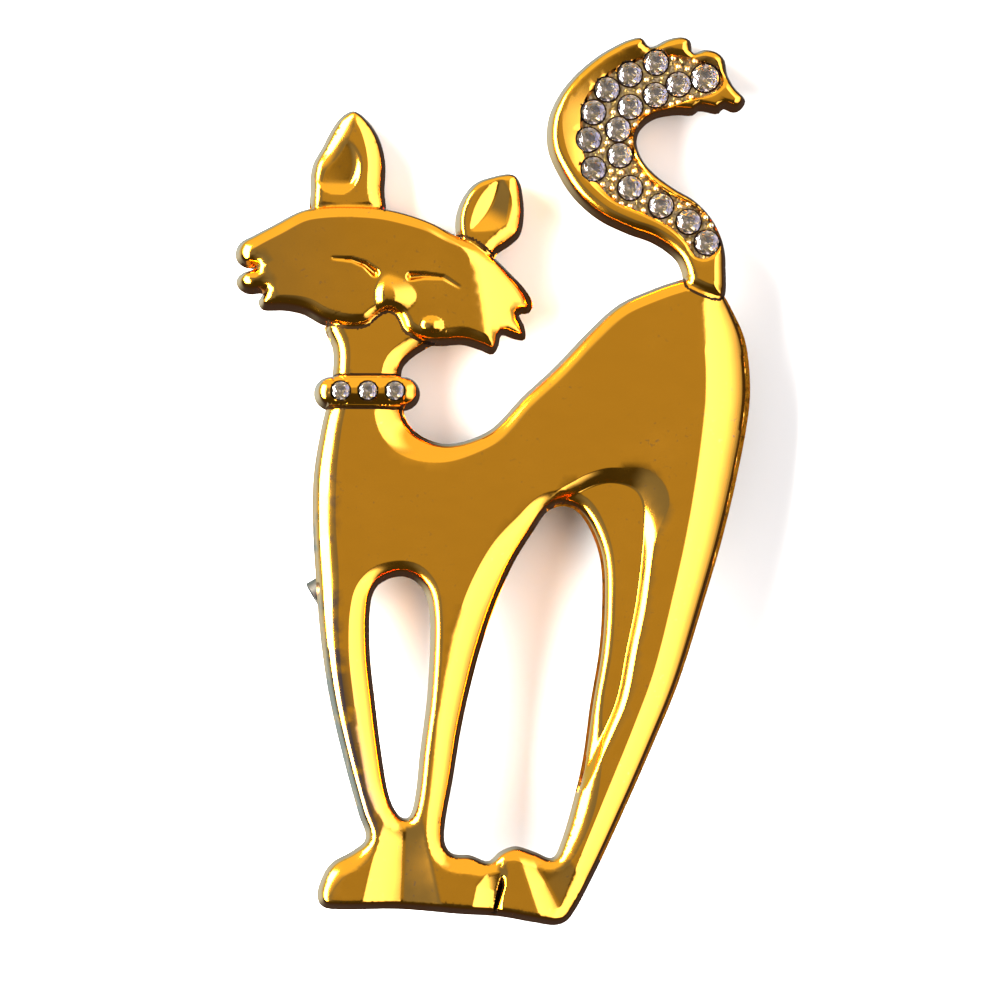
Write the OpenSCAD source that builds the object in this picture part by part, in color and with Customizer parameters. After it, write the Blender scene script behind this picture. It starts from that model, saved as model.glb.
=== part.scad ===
// A sitting cat brooch: one polished casting, a stone set tail and collar, and a pin across its back.
// It is drawn flat and face up, with its back at height 0, then laid down as it rests by itself:
// on the two ends of its pin and on the tip of its left ear.

/* [Trunk and legs] */
// Width of the trunk and legs, from the chest to the rump
trunk_w = 37.5; // [34:0.5:41]
// Height from the sole of the hind paw to the throat
trunk_h = 50; // [46:0.5:56]
// Thickness of the trunk at its flat face
trunk_t = 2.6; // [2.2:0.1:3.2]
// Thickness of the far hind leg, which lies lower than the near one
far_leg_t = 1.7; // [1.4:0.1:2]

/* [Cast edges] */
// Height of the plain side wall all round the casting
wall_t = 1.1; // [0.8:0.1:1.3]
// How far that wall leans in, so that the casting leaves its mould
draft = 0.35; // [0.2:0.05:0.45]
// Width of the rounded shoulder above the wall, where it is full
shoulder = 2; // [1.4:0.1:2.2]

/* [Head] */
// Width of the head without its cheek tufts reaching past it
head_w = 25; // [22:0.5:28]
// Height of the head without its ears
head_h = 12.5; // [11:0.5:14]
// Thickness of the head at its flat face
head_t = 3.6; // [3.2:0.1:4.2]
// Width of the left ear
left_ear_w = 6.25; // [5.5:0.25:7]
// Height of the left ear, with its root in the head
left_ear_h = 8.75; // [8:0.25:10]
// Width of the right ear, which is turned away
right_ear_w = 5.8; // [5:0.2:6.6]
// Height of the right ear, with its root in the head
right_ear_h = 7.5; // [6.5:0.25:8.5]
// Thickness of both ears
ear_t = 2.8; // [2.4:0.1:3.2]
// Depth of the hollow in each ear
ear_hollow = 0.7; // [0.4:0.1:1]
// How far the muzzle stands out of the face
muzzle_rise = 0.55; // [0.3:0.05:0.8]

/* [Collar] */
// How far each round end of the collar reaches past the neck
collar_lip = 1.5; // [1.2:0.1:1.8]
// Height of the collar band
collar_h = 2.85; // [2.6:0.05:3.2]
// Thickness of the collar at its flat face
collar_t = 3.3; // [3:0.1:3.6]

/* [Tail] */
// Width of the curled tail
tail_w = 17.5; // [16:0.25:20]
// Height of the curled tail, with its root in the rump
tail_h = 22.5; // [21:0.25:25]
// Thickness of the tail at its two rims
tail_t = 2.8; // [2.4:0.1:3.2]
// Thickness of the sunk bed that carries the stones
bed_t = 2.05; // [1.8:0.05:2.2]

/* [Stones] */
// Diameter of the round stones in the tail
stone_d = 2; // [1.8:0.05:2.1]
// Diameter of the larger stone at the tip of the tail
tip_stone_d = 2.3; // [2.1:0.05:2.5]
// Diameter of the stones in the collar
collar_stone_d = 1.5; // [1.3:0.05:1.7]
// Distance between the centres of the stones in the collar
collar_pitch = 2.25; // [2:0.05:2.4]
// Distance between the inner and the outer row of tail stones
row_gap = 2.4; // [2.3:0.05:2.7]
// Clearance between a stone and its seat
seat_gap = 0.1; // [0.08:0.01:0.15]
// Diameter of the small beads that hold the tail stones
bead_d = 0.5; // [0.4:0.05:0.6]

/* [Pin] */
// Length of the pin back, from the end of the catch to the end of the bar
pin_len = 32; // [28:0.5:34]
// Angle of the pin across the back of the trunk, in degrees
pin_angle = 31; // [28:0.5:34]
// Width of the flat bar that is soldered to the back
bar_w = 4; // [3:0.25:4.5]
// Thickness of that bar
bar_t = 0.5; // [0.4:0.05:0.8]
// Diameter of the pin's stem
stem_d = 0.9; // [0.7:0.05:1]
// Depth of the stem's centre line behind the back
stem_drop = 1.75; // [1.6:0.05:2]
// Outer radius of the catch
catch_r = 1.3; // [1.2:0.05:1.4]
// Wall of the catch
catch_wall = 0.45; // [0.35:0.05:0.5]
// Length of the catch
catch_len = 2; // [1.6:0.1:2.6]
// Thickness of each ear of the hinge
hinge_ear_t = 0.5; // [0.4:0.05:0.6]
// Clear width between the two ears of the hinge
hinge_slot = 1.4; // [1.2:0.1:1.8]

/* [Hidden] */
// Steps between two rows of an outline's table
curve_steps = 2;
// Rings of facets up a rounded shoulder
shoulder_rings = 3;
// How far a cut runs past the face that it opens
past = 1;
// Sides of the small round forms of the casting
bump_sides = 16;

// Outlines run counterclockwise. Their columns are: share of the width, share of the height of
// the box that the heading names, and the shoulder's width as a share of the full shoulder.

// The trunk's box: chest, from the throat down to the ankle
CHEST = [
    [0.058, 1.000, 0.50], [0.073, 0.958, 0.50], [0.073, 0.922, 0.50], [0.062, 0.875, 0.50],
    [0.047, 0.825, 0.50], [0.031, 0.750, 0.55], [0.029, 0.667, 0.60], [0.036, 0.575, 0.60],
    [0.047, 0.475, 0.60], [0.067, 0.375, 0.55], [0.098, 0.275, 0.45], [0.131, 0.185, 0.40],
    [0.147, 0.145, 0.40]
];
// The trunk's box: front paw, sole and heel
SOLE = [
    [0.120, 0.125, 0.45], [0.069, 0.102, 0.45], [0.042, 0.062, 0.30], [0.044, 0.037, 0.25],
    [0.067, 0.027, 0.25], [0.222, 0.027, 0.30], [0.356, 0.019, 0.30], [0.444, 0.015, 0.30],
    [0.522, 0.005, 0.30], [0.569, 0.001, 0.30], [0.598, 0.012, 0.35]
];
// The trunk's box: hind leg and rump, from the heel up to the root of the tail
RUMP = [
    [0.649, 0.080, 0.60], [0.711, 0.178, 0.75], [0.787, 0.307, 0.80], [0.842, 0.408, 0.90],
    [0.898, 0.542, 1.10], [0.940, 0.650, 1.30], [0.975, 0.762, 1.60], [0.998, 0.860, 1.70],
    [1.000, 0.917, 1.70], [0.989, 0.978, 1.50], [0.960, 1.028, 1.00], [0.938, 1.055, 0.60]
];
// The trunk's box: back and neck, from the root of the tail to under the chin
BACK = [
    [0.889, 1.082, 0.40], [0.844, 1.077, 0.45], [0.778, 1.060, 0.50], [0.707, 1.035, 0.50],
    [0.644, 0.993, 0.50], [0.567, 0.932, 0.50], [0.493, 0.880, 0.50], [0.427, 0.828, 0.50],
    [0.373, 0.808, 0.55], [0.322, 0.802, 0.60], [0.276, 0.812, 0.65], [0.244, 0.832, 0.65],
    [0.231, 0.855, 0.60], [0.227, 0.892, 0.55], [0.227, 0.925, 0.50], [0.249, 0.945, 0.50],
    [0.284, 0.962, 0.50], [0.322, 0.978, 0.45], [0.311, 1.012, 0.40], [0.178, 1.042, 0.40]
];
// The trunk's box: the gap between the two front legs
FRONT_GAP = [
    [0.218, 0.580, 0.50], [0.176, 0.567, 0.50], [0.158, 0.537, 0.50], [0.156, 0.458, 0.50],
    [0.167, 0.375, 0.50], [0.184, 0.275, 0.45], [0.200, 0.212, 0.45], [0.222, 0.182, 0.50],
    [0.242, 0.180, 0.50], [0.256, 0.213, 0.40], [0.267, 0.288, 0.40], [0.282, 0.375, 0.40],
    [0.289, 0.458, 0.45], [0.289, 0.512, 0.50], [0.278, 0.553, 0.50], [0.251, 0.575, 0.50]
];
// The trunk's box: the gap under the belly, between the front and the hind legs
BELLY_GAP = [
    [0.587, 0.698, 0.40], [0.551, 0.690, 0.50], [0.520, 0.658, 0.60], [0.476, 0.605, 0.65],
    [0.436, 0.537, 0.65], [0.404, 0.467, 0.65], [0.380, 0.400, 0.60], [0.358, 0.325, 0.55],
    [0.340, 0.242, 0.50], [0.324, 0.175, 0.45], [0.322, 0.138, 0.45], [0.338, 0.120, 0.45],
    [0.378, 0.117, 0.45], [0.418, 0.107, 0.45], [0.444, 0.123, 0.35], [0.478, 0.132, 0.35],
    [0.520, 0.123, 0.35], [0.560, 0.113, 0.40], [0.580, 0.140, 0.40], [0.604, 0.200, 0.40],
    [0.627, 0.275, 0.40], [0.644, 0.367, 0.40], [0.664, 0.458, 0.40], [0.671, 0.542, 0.40],
    [0.667, 0.608, 0.40], [0.647, 0.655, 0.40], [0.618, 0.688, 0.40]
];
// The trunk's box: the hollow that sets the far hind leg back behind the near one
FAR_LEG = [
    [0.582, 0.225, 0.20], [0.618, 0.208, 0.20], [0.644, 0.258, 0.30], [0.671, 0.312, 0.35],
    [0.698, 0.367, 0.35], [0.720, 0.422, 0.35], [0.742, 0.483, 0.35], [0.758, 0.545, 0.35],
    [0.771, 0.608, 0.35], [0.782, 0.658, 0.40], [0.800, 0.700, 0.50], [0.804, 0.733, 0.40],
    [0.778, 0.758, 0.20], [0.729, 0.767, 0.15], [0.676, 0.760, 0.15], [0.627, 0.740, 0.15],
    [0.573, 0.712, 0.10], [0.591, 0.658, 0.10], [0.631, 0.592, 0.10], [0.640, 0.500, 0.10],
    [0.622, 0.392, 0.10], [0.600, 0.300, 0.10]
];
// The head's box: the face without its tufts
FACE = [
    [0.217, 0.960, 0.55], [0.137, 0.880, 0.50], [0.077, 0.793, 0.35], [0.057, 0.687, 0.30],
    [0.063, 0.553, 0.30], [0.077, 0.420, 0.30], [0.103, 0.327, 0.30], [0.163, 0.293, 0.40],
    [0.227, 0.267, 0.40], [0.290, 0.200, 0.40], [0.367, 0.160, 0.40], [0.437, 0.173, 0.30],
    [0.477, 0.240, 0.30], [0.510, 0.267, 0.30], [0.537, 0.233, 0.30], [0.560, 0.140, 0.35],
    [0.617, 0.073, 0.40], [0.683, 0.060, 0.45], [0.757, 0.067, 0.50], [0.817, 0.053, 0.50],
    [0.863, 0.113, 0.60], [0.903, 0.220, 0.80], [0.930, 0.347, 1.00], [0.927, 0.467, 1.00],
    [0.883, 0.607, 0.90], [0.800, 0.747, 0.80], [0.723, 0.813, 0.70], [0.650, 0.887, 0.60],
    [0.563, 0.947, 0.50], [0.483, 0.980, 0.50], [0.383, 0.993, 0.50], [0.290, 0.987, 0.50]
];
// The left ear's box
LEFT_EAR = [
    [0.040, 0.000, 0.35], [0.970, 0.000, 0.35], [0.990, 0.240, 0.40], [1.000, 0.495, 0.40],
    [0.930, 0.714, 0.40], [0.787, 0.886, 0.35], [0.587, 1.000, 0.25], [0.427, 0.952, 0.25],
    [0.293, 0.829, 0.35], [0.160, 0.648, 0.35], [0.027, 0.467, 0.35], [0.000, 0.238, 0.35]
];
// The right ear's box
RIGHT_EAR = [
    [0.114, 0.133, 0.30], [0.514, 0.000, 0.30], [0.629, 0.100, 0.35], [0.800, 0.189, 0.40],
    [0.943, 0.300, 0.40], [1.000, 0.511, 0.40], [0.986, 0.733, 0.35], [0.929, 0.920, 0.25],
    [0.829, 0.989, 0.20], [0.586, 0.967, 0.30], [0.286, 0.878, 0.35], [0.086, 0.667, 0.35],
    [0.014, 0.411, 0.35]
];
// The tail's box: its outer form, from the root up the inside of the curl and back over the top
TAIL = [
    [0.695, 0.056, 0.40], [0.867, 0.019, 0.40], [0.886, 0.159, 0.35], [0.871, 0.241, 0.20],
    [0.819, 0.326, 0.15], [0.738, 0.393, 0.15], [0.643, 0.437, 0.15], [0.552, 0.489, 0.15],
    [0.490, 0.544, 0.15], [0.462, 0.607, 0.15], [0.481, 0.656, 0.15], [0.548, 0.696, 0.15],
    [0.648, 0.711, 0.15], [0.786, 0.717, 0.20], [0.867, 0.722, 0.25], [0.938, 0.756, 0.25],
    [0.910, 0.826, 0.25], [0.852, 0.885, 0.25], [0.762, 0.922, 0.25], [0.629, 0.952, 0.25],
    [0.514, 0.959, 0.30], [0.390, 0.959, 0.35], [0.271, 0.926, 0.40], [0.167, 0.859, 0.40],
    [0.086, 0.778, 0.40], [0.038, 0.685, 0.40], [0.038, 0.581, 0.40], [0.090, 0.485, 0.40],
    [0.167, 0.396, 0.40], [0.281, 0.319, 0.35], [0.419, 0.267, 0.30], [0.538, 0.233, 0.30],
    [0.643, 0.174, 0.30], [0.676, 0.122, 0.30]
];
// The tail's box: the sunk bed between the two rims
BED = [
    [0.786, 0.170, 0.10], [0.843, 0.204, 0.10], [0.852, 0.248, 0.10], [0.814, 0.307, 0.10],
    [0.733, 0.359, 0.10], [0.629, 0.400, 0.10], [0.533, 0.448, 0.10], [0.467, 0.515, 0.10],
    [0.433, 0.589, 0.10], [0.448, 0.656, 0.10], [0.505, 0.704, 0.10], [0.590, 0.730, 0.10],
    [0.714, 0.748, 0.10], [0.829, 0.763, 0.10], [0.871, 0.811, 0.10], [0.838, 0.874, 0.10],
    [0.733, 0.905, 0.10], [0.619, 0.925, 0.10], [0.476, 0.925, 0.10], [0.343, 0.895, 0.15],
    [0.224, 0.826, 0.20], [0.152, 0.737, 0.20], [0.133, 0.641, 0.20], [0.167, 0.537, 0.15],
    [0.248, 0.448, 0.10], [0.357, 0.381, 0.10], [0.500, 0.333, 0.10], [0.619, 0.285, 0.10],
    [0.695, 0.230, 0.10], [0.733, 0.181, 0.10]
];
// The tail's box, without a shoulder: the line of the inner row of stones, from root to tip
INNER_ROW = [
    [0.790, 0.228], [0.705, 0.304], [0.567, 0.367], [0.429, 0.426], [0.381, 0.537],
    [0.367, 0.641], [0.424, 0.730], [0.543, 0.774], [0.652, 0.815], [0.783, 0.840]
];
// From each inner stone to the next, in stone diameters, as the setter spread them
INNER_STEPS = [1.15, 1.33, 1.50, 1.44, 1.10, 1.08, 1.175, 1.06];
// The same along the outer row
OUTER_STEPS = [1.25, 1.17, 1.12, 1.15, 1.20, 1.12];
// What a stone after those takes
NEXT_STEP = 1.15;
// Where the outer row starts and ends, as shares of its own length
OUTER_SPAN = [0.42, 0.95];

// Tufts of fur are lower forms that stand out from under the face and the tail.
// The head's box: the left cheek's tufts
LEFT_FUR = [
    [0.140, 0.800, 0.20], [0.060, 0.793, 0.25], [0.017, 0.747, 0.25], [0.000, 0.673, 0.20],
    [0.010, 0.613, 0.15], [0.037, 0.577, 0.10], [0.063, 0.573, 0.10], [0.023, 0.543, 0.10],
    [0.003, 0.487, 0.15], [0.017, 0.430, 0.15], [0.050, 0.400, 0.10], [0.092, 0.407, 0.10],
    [0.077, 0.350, 0.08], [0.093, 0.297, 0.08], [0.150, 0.320, 0.10], [0.200, 0.550, 0.20]
];
// The head's box: the right cheek's tufts
RIGHT_FUR = [
    [0.760, 0.110, 0.20], [0.813, 0.027, 0.12], [0.857, 0.003, 0.05], [0.877, 0.057, 0.05],
    [0.887, 0.133, 0.05], [0.930, 0.107, 0.05], [0.965, 0.103, 0.04], [0.965, 0.187, 0.05],
    [0.947, 0.273, 0.05], [0.977, 0.280, 0.05], [0.992, 0.340, 0.05], [0.967, 0.440, 0.12],
    [0.913, 0.553, 0.20], [0.833, 0.600, 0.20], [0.760, 0.350, 0.20]
];
// The tail's box: the tufts over its tip
TAIL_FUR = [
    [0.905, 0.720, 0.10], [0.957, 0.731, 0.10], [0.981, 0.767, 0.10], [0.929, 0.815, 0.10],
    [0.895, 0.863, 0.08], [0.881, 0.919, 0.10], [0.843, 0.948, 0.12], [0.786, 0.956, 0.12],
    [0.731, 0.944, 0.08], [0.719, 0.989, 0.10], [0.676, 1.004, 0.12], [0.605, 0.993, 0.12],
    [0.526, 0.965, 0.08], [0.486, 1.000, 0.12], [0.424, 0.993, 0.15], [0.343, 0.963, 0.20],
    [0.390, 0.889, 0.20], [0.571, 0.870, 0.20], [0.743, 0.830, 0.20], [0.829, 0.763, 0.10]
];
// How high the tufts stand, as shares of the thickness of the face or the tail
FUR_SHARE = 0.72;
TAIL_FUR_SHARE = 0.92;
// Lines cut into the face for the closed eyes, columns: x, y, radius as a share of the head's width
LEFT_EYE = [
    [0.327, 0.633, 0.008], [0.390, 0.620, 0.011], [0.437, 0.573, 0.016], [0.463, 0.520, 0.016]
];
RIGHT_EYE = [
    [0.583, 0.480, 0.017], [0.620, 0.500, 0.015], [0.687, 0.487, 0.011], [0.737, 0.440, 0.008]
];
// The crease between the front paws, columns: x, y, radius as a share of the trunk's width
PAW_CREASE = [
    [0.231, 0.150, 0.013], [0.229, 0.090, 0.011], [0.227, 0.035, 0.011]
];

// The blind slit between the front and the hind paw, in the same columns
PAW_SLIT = [[0.439, 0.065, 0.011], [0.428, 0.035, 0.006]];

// Where each box stands: its lower left corner
head_at = [-0.144 * trunk_w, 0.95 * trunk_h];
left_ear_at = [head_at[0] + 0.25 * head_w, head_at[1] + 0.933 * head_h];
right_ear_at = [head_at[0] + 0.73 * head_w, head_at[1] + 0.62 * head_h];
tail_at = [0.533 * trunk_w, 1.033 * trunk_h];
pin_at = [0.032 * trunk_w, 0.549 * trunk_h];
collar_at = [0.149 * trunk_w, 0.885 * trunk_h];
collar_w = 0.156 * trunk_w + 2 * collar_lip;

// A point of a box's table, put in its place
function placed(rows, at, w, h) =
    [for (r = rows) [at[0] + r[0] * w, at[1] + r[1] * h, len(r) > 2 ? r[2] * shoulder : 0]];
function span(a, b) = norm([b[0] - a[0], b[1] - a[1]]);
// A point between b and c on the smooth curve through a, b, c and d
function bend(a, b, c, d, t) =
    let (
        run = span(b, c),
        leave = (c - a) * run / (span(a, b) + run),
        reach = (d - b) * run / (span(c, d) + run)
    )
    b * (2 * pow(t, 3) - 3 * pow(t, 2) + 1) + leave * (pow(t, 3) - 2 * pow(t, 2) + t)
    + c * (3 * pow(t, 2) - 2 * pow(t, 3)) + reach * (pow(t, 3) - pow(t, 2));
function smooth_loop(rows) =
    let (n = len(rows))
    [for (i = [0:n - 1], k = [0:curve_steps - 1])
        bend(rows[(i + n - 1) % n], rows[i], rows[(i + 1) % n], rows[(i + 2) % n], k / curve_steps)];
function smooth_line(rows, steps) =
    let (n = len(rows))
    [for (i = [0:n - 2], k = [0:i == n - 2 ? steps : steps - 1])
        bend(rows[max(i - 1, 0)], rows[i], rows[i + 1], rows[min(i + 2, n - 1)], k / steps)];
// The unit vector to the left of an outline's run, which points into a counterclockwise outline
function leftward(a, b) = [a[1] - b[1], b[0] - a[0]] / span(a, b);
// The outline moved inwards by a share of the draft and a share of each point's shoulder
function inset(rows, of_draft, of_shoulder) =
    let (n = len(rows))
    [for (i = [0:n - 1])
        let (
            side = leftward(rows[(i + n - 1) % n], rows[(i + 1) % n]),
            depth = draft * of_draft + rows[i][2] * of_shoulder
        )
        [rows[i][0] + side[0] * depth, rows[i][1] + side[1] * depth]];
function at_height(flat, z) = [for (p = flat) [p[0], p[1], z]];

trunk_rows = smooth_loop(placed(concat(CHEST, SOLE, RUMP, BACK), [0, 0], trunk_w, trunk_h));
face_rows = smooth_loop(placed(FACE, head_at, head_w, head_h));
left_ear_rows = smooth_loop(placed(LEFT_EAR, left_ear_at, left_ear_w, left_ear_h));
right_ear_rows = smooth_loop(placed(RIGHT_EAR, right_ear_at, right_ear_w, right_ear_h));
tail_rows = smooth_loop(placed(TAIL, tail_at, tail_w, tail_h));
tail_fur_rows = smooth_loop(placed(TAIL_FUR, tail_at, tail_w, tail_h));
fur_rows = [for (t = [LEFT_FUR, RIGHT_FUR]) smooth_loop(placed(t, head_at, head_w, head_h))];

// Rows of stones
inner_line = smooth_line(placed(INNER_ROW, tail_at, tail_w, tail_h), 8);
outer_line = [for (i = [1:len(inner_line) - 2])
    let (side = leftward(inner_line[i - 1], inner_line[i + 1]))
    [inner_line[i][0] + side[0] * row_gap, inner_line[i][1] + side[1] * row_gap, 0]];
function line_length(line, upto) =
    upto == 0 ? 0 : line_length(line, upto - 1) + span(line[upto - 1], line[upto]);
function whole(line) = line_length(line, len(line) - 1);
// The point that lies a distance along a line
function walk(line, distance, i = 0) =
    let (run = span(line[i], line[i + 1]))
    distance <= run || i == len(line) - 2
    ? line[i] + (line[i + 1] - line[i]) * distance / run
    : walk(line, distance - run, i + 1);
function step_after(steps, i) = i < len(steps) ? steps[i] : NEXT_STEP;
// Distances along a row at which its stones sit
function stops(at, end, steps, i = 0) =
    at > end ? [] : concat([at], stops(at + stone_d * step_after(steps, i), end, steps, i + 1));
inner_end = whole(inner_line) - (stone_d + tip_stone_d) / 2 - seat_gap;
inner_stones = [for (s = stops(0, inner_end, INNER_STEPS)) walk(inner_line, s)];
outer_ends = whole(outer_line) * OUTER_SPAN;
outer_stones = [for (s = stops(outer_ends[0], outer_ends[1], OUTER_STEPS)) walk(outer_line, s)];
tip_stone = inner_line[len(inner_line) - 1];
// Columns: x, y, diameter
tail_stones = concat(
    [for (p = inner_stones) [p[0], p[1], stone_d]],
    [[tip_stone[0], tip_stone[1], tip_stone_d]],
    [for (p = outer_stones) [p[0], p[1], stone_d]]
);
collar_stones = [for (i = [-1:1]) [collar_at[0] + i * collar_pitch, collar_at[1], collar_stone_d]];

// Proportions of a round cut stone, as shares of its diameter
TABLE = 0.56;
CROWN_MID = 0.78;
CROWN_H = 0.16;
GIRDLE_H = 0.04;
PAVILION_MID = 0.62;
PAVILION_H = 0.42;
// How far a stone's girdle stands above the bed or sinks under the collar's face
tail_girdle = bed_t + 0.08 * stone_d;
collar_girdle = collar_t - 0.1 * collar_stone_d;

// The resting pose
along_pin = [cos(pin_angle), sin(pin_angle)];
to_ear = [-sin(pin_angle), cos(pin_angle)];
pin_reach = max([for (p = left_ear_rows) (p[0] - pin_at[0]) * to_ear[0] + (p[1] - pin_at[1]) * to_ear[1]]);
rest_tilt = atan(stem_drop / pin_reach) + asin(catch_r / norm([stem_drop, pin_reach]));
hinge_out = hinge_slot / 2 + hinge_ear_t;
hinge_ear_r = (pin_reach - hinge_out) * tan(rest_tilt) - stem_drop;
// A point of the back as it lies at rest, seen from above
function laid(p) =
    let (d = [p[0] - pin_at[0], p[1] - pin_at[1]])
    along_pin * (d * along_pin) + to_ear * (d * to_ear) * cos(rest_tilt);
all_rows = concat(
    [trunk_rows, face_rows, left_ear_rows, right_ear_rows, tail_rows, tail_fur_rows],
    fur_rows
);
edge = [for (rows = all_rows, p = rows) laid(p)];
middle = [
    (max([for (p = edge) p[0]]) + min([for (p = edge) p[0]])) / 2,
    (max([for (p = edge) p[1]]) + min([for (p = edge) p[1]])) / 2
];

GOLD = "#c8920f";
CRYSTAL = "#d8dde0";
STEEL = "#b9b4a6";

function stone_name(i) = str("tail_stone_", i < 9 ? "0" : "", i + 1);
function collar_name(i) = str("collar_stone_", i + 1);

// Lays the flat drawing down on its pin and its ear
module at_rest() {
    translate([-middle[0], -middle[1], pin_reach * sin(rest_tilt)])
        rotate(a = -rest_tilt, v = [along_pin[0], along_pin[1], 0])
            translate([-pin_at[0], -pin_at[1], 0])
                children();
}

// A closed skin over rings of points that lie one above the other
module skin(rings) {
    n = len(rings[0]);
    top = len(rings) - 1;
    polyhedron(
        points = [for (ring = rings, p = ring) p],
        faces = concat(
            [[for (i = [0:n - 1]) i]],
            [for (k = [0:top - 1], i = [0:n - 1])
                let (j = (i + 1) % n)
                each [
                    [k * n + i, (k + 1) * n + i, (k + 1) * n + j],
                    [k * n + i, (k + 1) * n + j, k * n + j]
                ]],
            [[for (i = [n - 1:-1:0]) top * n + i]]
        )
    );
}

// A cast form: a leaning wall, a rounded shoulder and a flat face
module cast_form(rows, thickness) {
    skin(concat(
        [at_height(inset(rows, 0, 0), 0)],
        [for (k = [0:shoulder_rings])
            let (a = 90 * k / shoulder_rings)
            at_height(inset(rows, 1, 1 - cos(a)), wall_t + (thickness - wall_t) * sin(a))]
    ));
}

// What a gap takes away: its wall leans and its edge is rounded as the outer edge is
module gap_form(rows, thickness) {
    skin(concat(
        [at_height(inset(rows, 0, 0), -past), at_height(inset(rows, 0, 0), 0)],
        [for (k = [0:shoulder_rings])
            let (a = 90 * k / shoulder_rings)
            at_height(inset(rows, -1, cos(a) - 1), wall_t + (thickness - wall_t) * sin(a))],
        [at_height(inset(rows, -1, -1), thickness + past)]
    ));
}

// What a blind hollow takes away, down to its flat floor
module hollow_form(rows, floor_t, thickness) {
    skin([
        at_height(inset(rows, 0, 0), floor_t),
        at_height(inset(rows, 0, -1), thickness),
        at_height(inset(rows, 0, -1), thickness + past)
    ]);
}

// A line cut into a face, as deep as it is wide at each point
module cut_line(rows, at, w, h, face_t) {
    for (i = [0:len(rows) - 2]) hull() for (r = [rows[i], rows[i + 1]])
        translate([at[0] + r[0] * w, at[1] + r[1] * h, face_t]) sphere(r = r[2] * w, $fn = 8);
}

module trunk() {
    difference() {
        cast_form(trunk_rows, trunk_t);
        gap_form(smooth_loop(placed(FRONT_GAP, [0, 0], trunk_w, trunk_h)), trunk_t);
        gap_form(smooth_loop(placed(BELLY_GAP, [0, 0], trunk_w, trunk_h)), trunk_t);
        hollow_form(smooth_loop(placed(FAR_LEG, [0, 0], trunk_w, trunk_h)), far_leg_t, trunk_t);
        cut_line(PAW_CREASE, [0, 0], trunk_w, trunk_h, trunk_t);
        paw_slit();
    }
}

// The blind slit between the front and the hind paw, narrow at the sole
module paw_slit() {
    hull() for (r = PAW_SLIT)
        translate([r[0] * trunk_w, r[1] * trunk_h, wall_t])
            cylinder(h = trunk_t, r = r[2] * trunk_w, $fn = bump_sides);
}

// An almond hollow in an ear
module ear_scoop(at, w, h, middle_share, size_share, turn) {
    translate([at[0] + middle_share[0] * w, at[1] + middle_share[1] * h, ear_t])
        rotate([0, 0, turn])
            scale([size_share[0] * w, size_share[1] * h, ear_hollow]) sphere(r = 1, $fn = bump_sides);
}

module ears() {
    difference() {
        cast_form(left_ear_rows, ear_t);
        ear_scoop(left_ear_at, left_ear_w, left_ear_h, [0.40, 0.42], [0.30, 0.27], 0);
    }
    difference() {
        cast_form(right_ear_rows, ear_t);
        ear_scoop(right_ear_at, right_ear_w, right_ear_h, [0.47, 0.58], [0.20, 0.34], -30);
    }
}

// The face: closed eyes, muzzle and lip
module head() {
    difference() {
        cast_form(face_rows, head_t);
        cut_line(LEFT_EYE, head_at, head_w, head_h, head_t);
        cut_line(RIGHT_EYE, head_at, head_w, head_h, head_t);
    }
    translate([head_at[0] + 0.51 * head_w, head_at[1] + 0.39 * head_h, head_t - 0.2 * muzzle_rise])
        scale([0.062 * head_w, 0.11 * head_h, 1.2 * muzzle_rise]) sphere(r = 1, $fn = bump_sides);
    translate([head_at[0] + 0.653 * head_w, head_at[1] + 0.19 * head_h, 0.96 * head_t])
        scale([0.033 * head_w, 0.035 * head_h, 0.5 * muzzle_rise]) sphere(r = 1, $fn = bump_sides);
    for (rows = fur_rows) cast_form(rows, FUR_SHARE * head_t);
}

// The collar: a band with round ends across the neck
module collar() {
    r = collar_h / 2;
    hull() for (side = [-1, 1])
        translate([collar_at[0] + side * (collar_w / 2 - r), collar_at[1], 0]) {
            cylinder(h = collar_t - 0.3 * r, r1 = r, r2 = r - draft, $fn = 2 * bump_sides);
            cylinder(h = collar_t, r = r - draft - 0.12 * r, $fn = 2 * bump_sides);
        }
}

module tail() {
    difference() {
        union() {
            cast_form(tail_rows, tail_t);
            cast_form(tail_fur_rows, TAIL_FUR_SHARE * tail_t);
        }
        hollow_form(smooth_loop(placed(BED, tail_at, tail_w, tail_h)), bed_t, tail_t);
    }
    setting_beads();
}

// Two small beads beside each middle between neighbours in a row
module setting_beads() {
    for (row = [inner_stones, outer_stones], i = [0:len(row) - 2]) {
        side = leftward(row[i], row[i + 1]);
        for (s = [-1, 1])
            translate([(row[i][0] + row[i + 1][0]) / 2 + s * side[0] * 0.33 * stone_d,
                       (row[i][1] + row[i + 1][1]) / 2 + s * side[1] * 0.33 * stone_d, bed_t - bead_d])
                cylinder(h = bead_d + 0.14 * stone_d, r1 = bead_d / 2, r2 = bead_d / 3, $fn = 6);
    }
}

// The seat that a stone drops into
module seat(stone, girdle_t) {
    r = stone[2] / 2 + seat_gap;
    deep = (PAVILION_H + 0.06) * stone[2];
    translate([stone[0], stone[1], girdle_t - seat_gap]) {
        cylinder(h = past + stone[2], r = r, $fn = bump_sides);
        translate([0, 0, -deep]) cylinder(h = deep, r1 = seat_gap / 2, r2 = r, $fn = bump_sides);
    }
}

module casting() {
    color(GOLD) at_rest() difference() {
        union() {
            trunk();
            head();
            ears();
            collar();
            tail();
        }
        for (s = tail_stones) seat(s, tail_girdle);
        for (s = collar_stones) seat(s, collar_girdle);
    }
}

// A ring of a stone's corners
function ring(count, r, z, turn) =
    [for (i = [0:count - 1]) let (a = turn + 360 * i / count) [r * cos(a), r * sin(a), z]];

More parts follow.
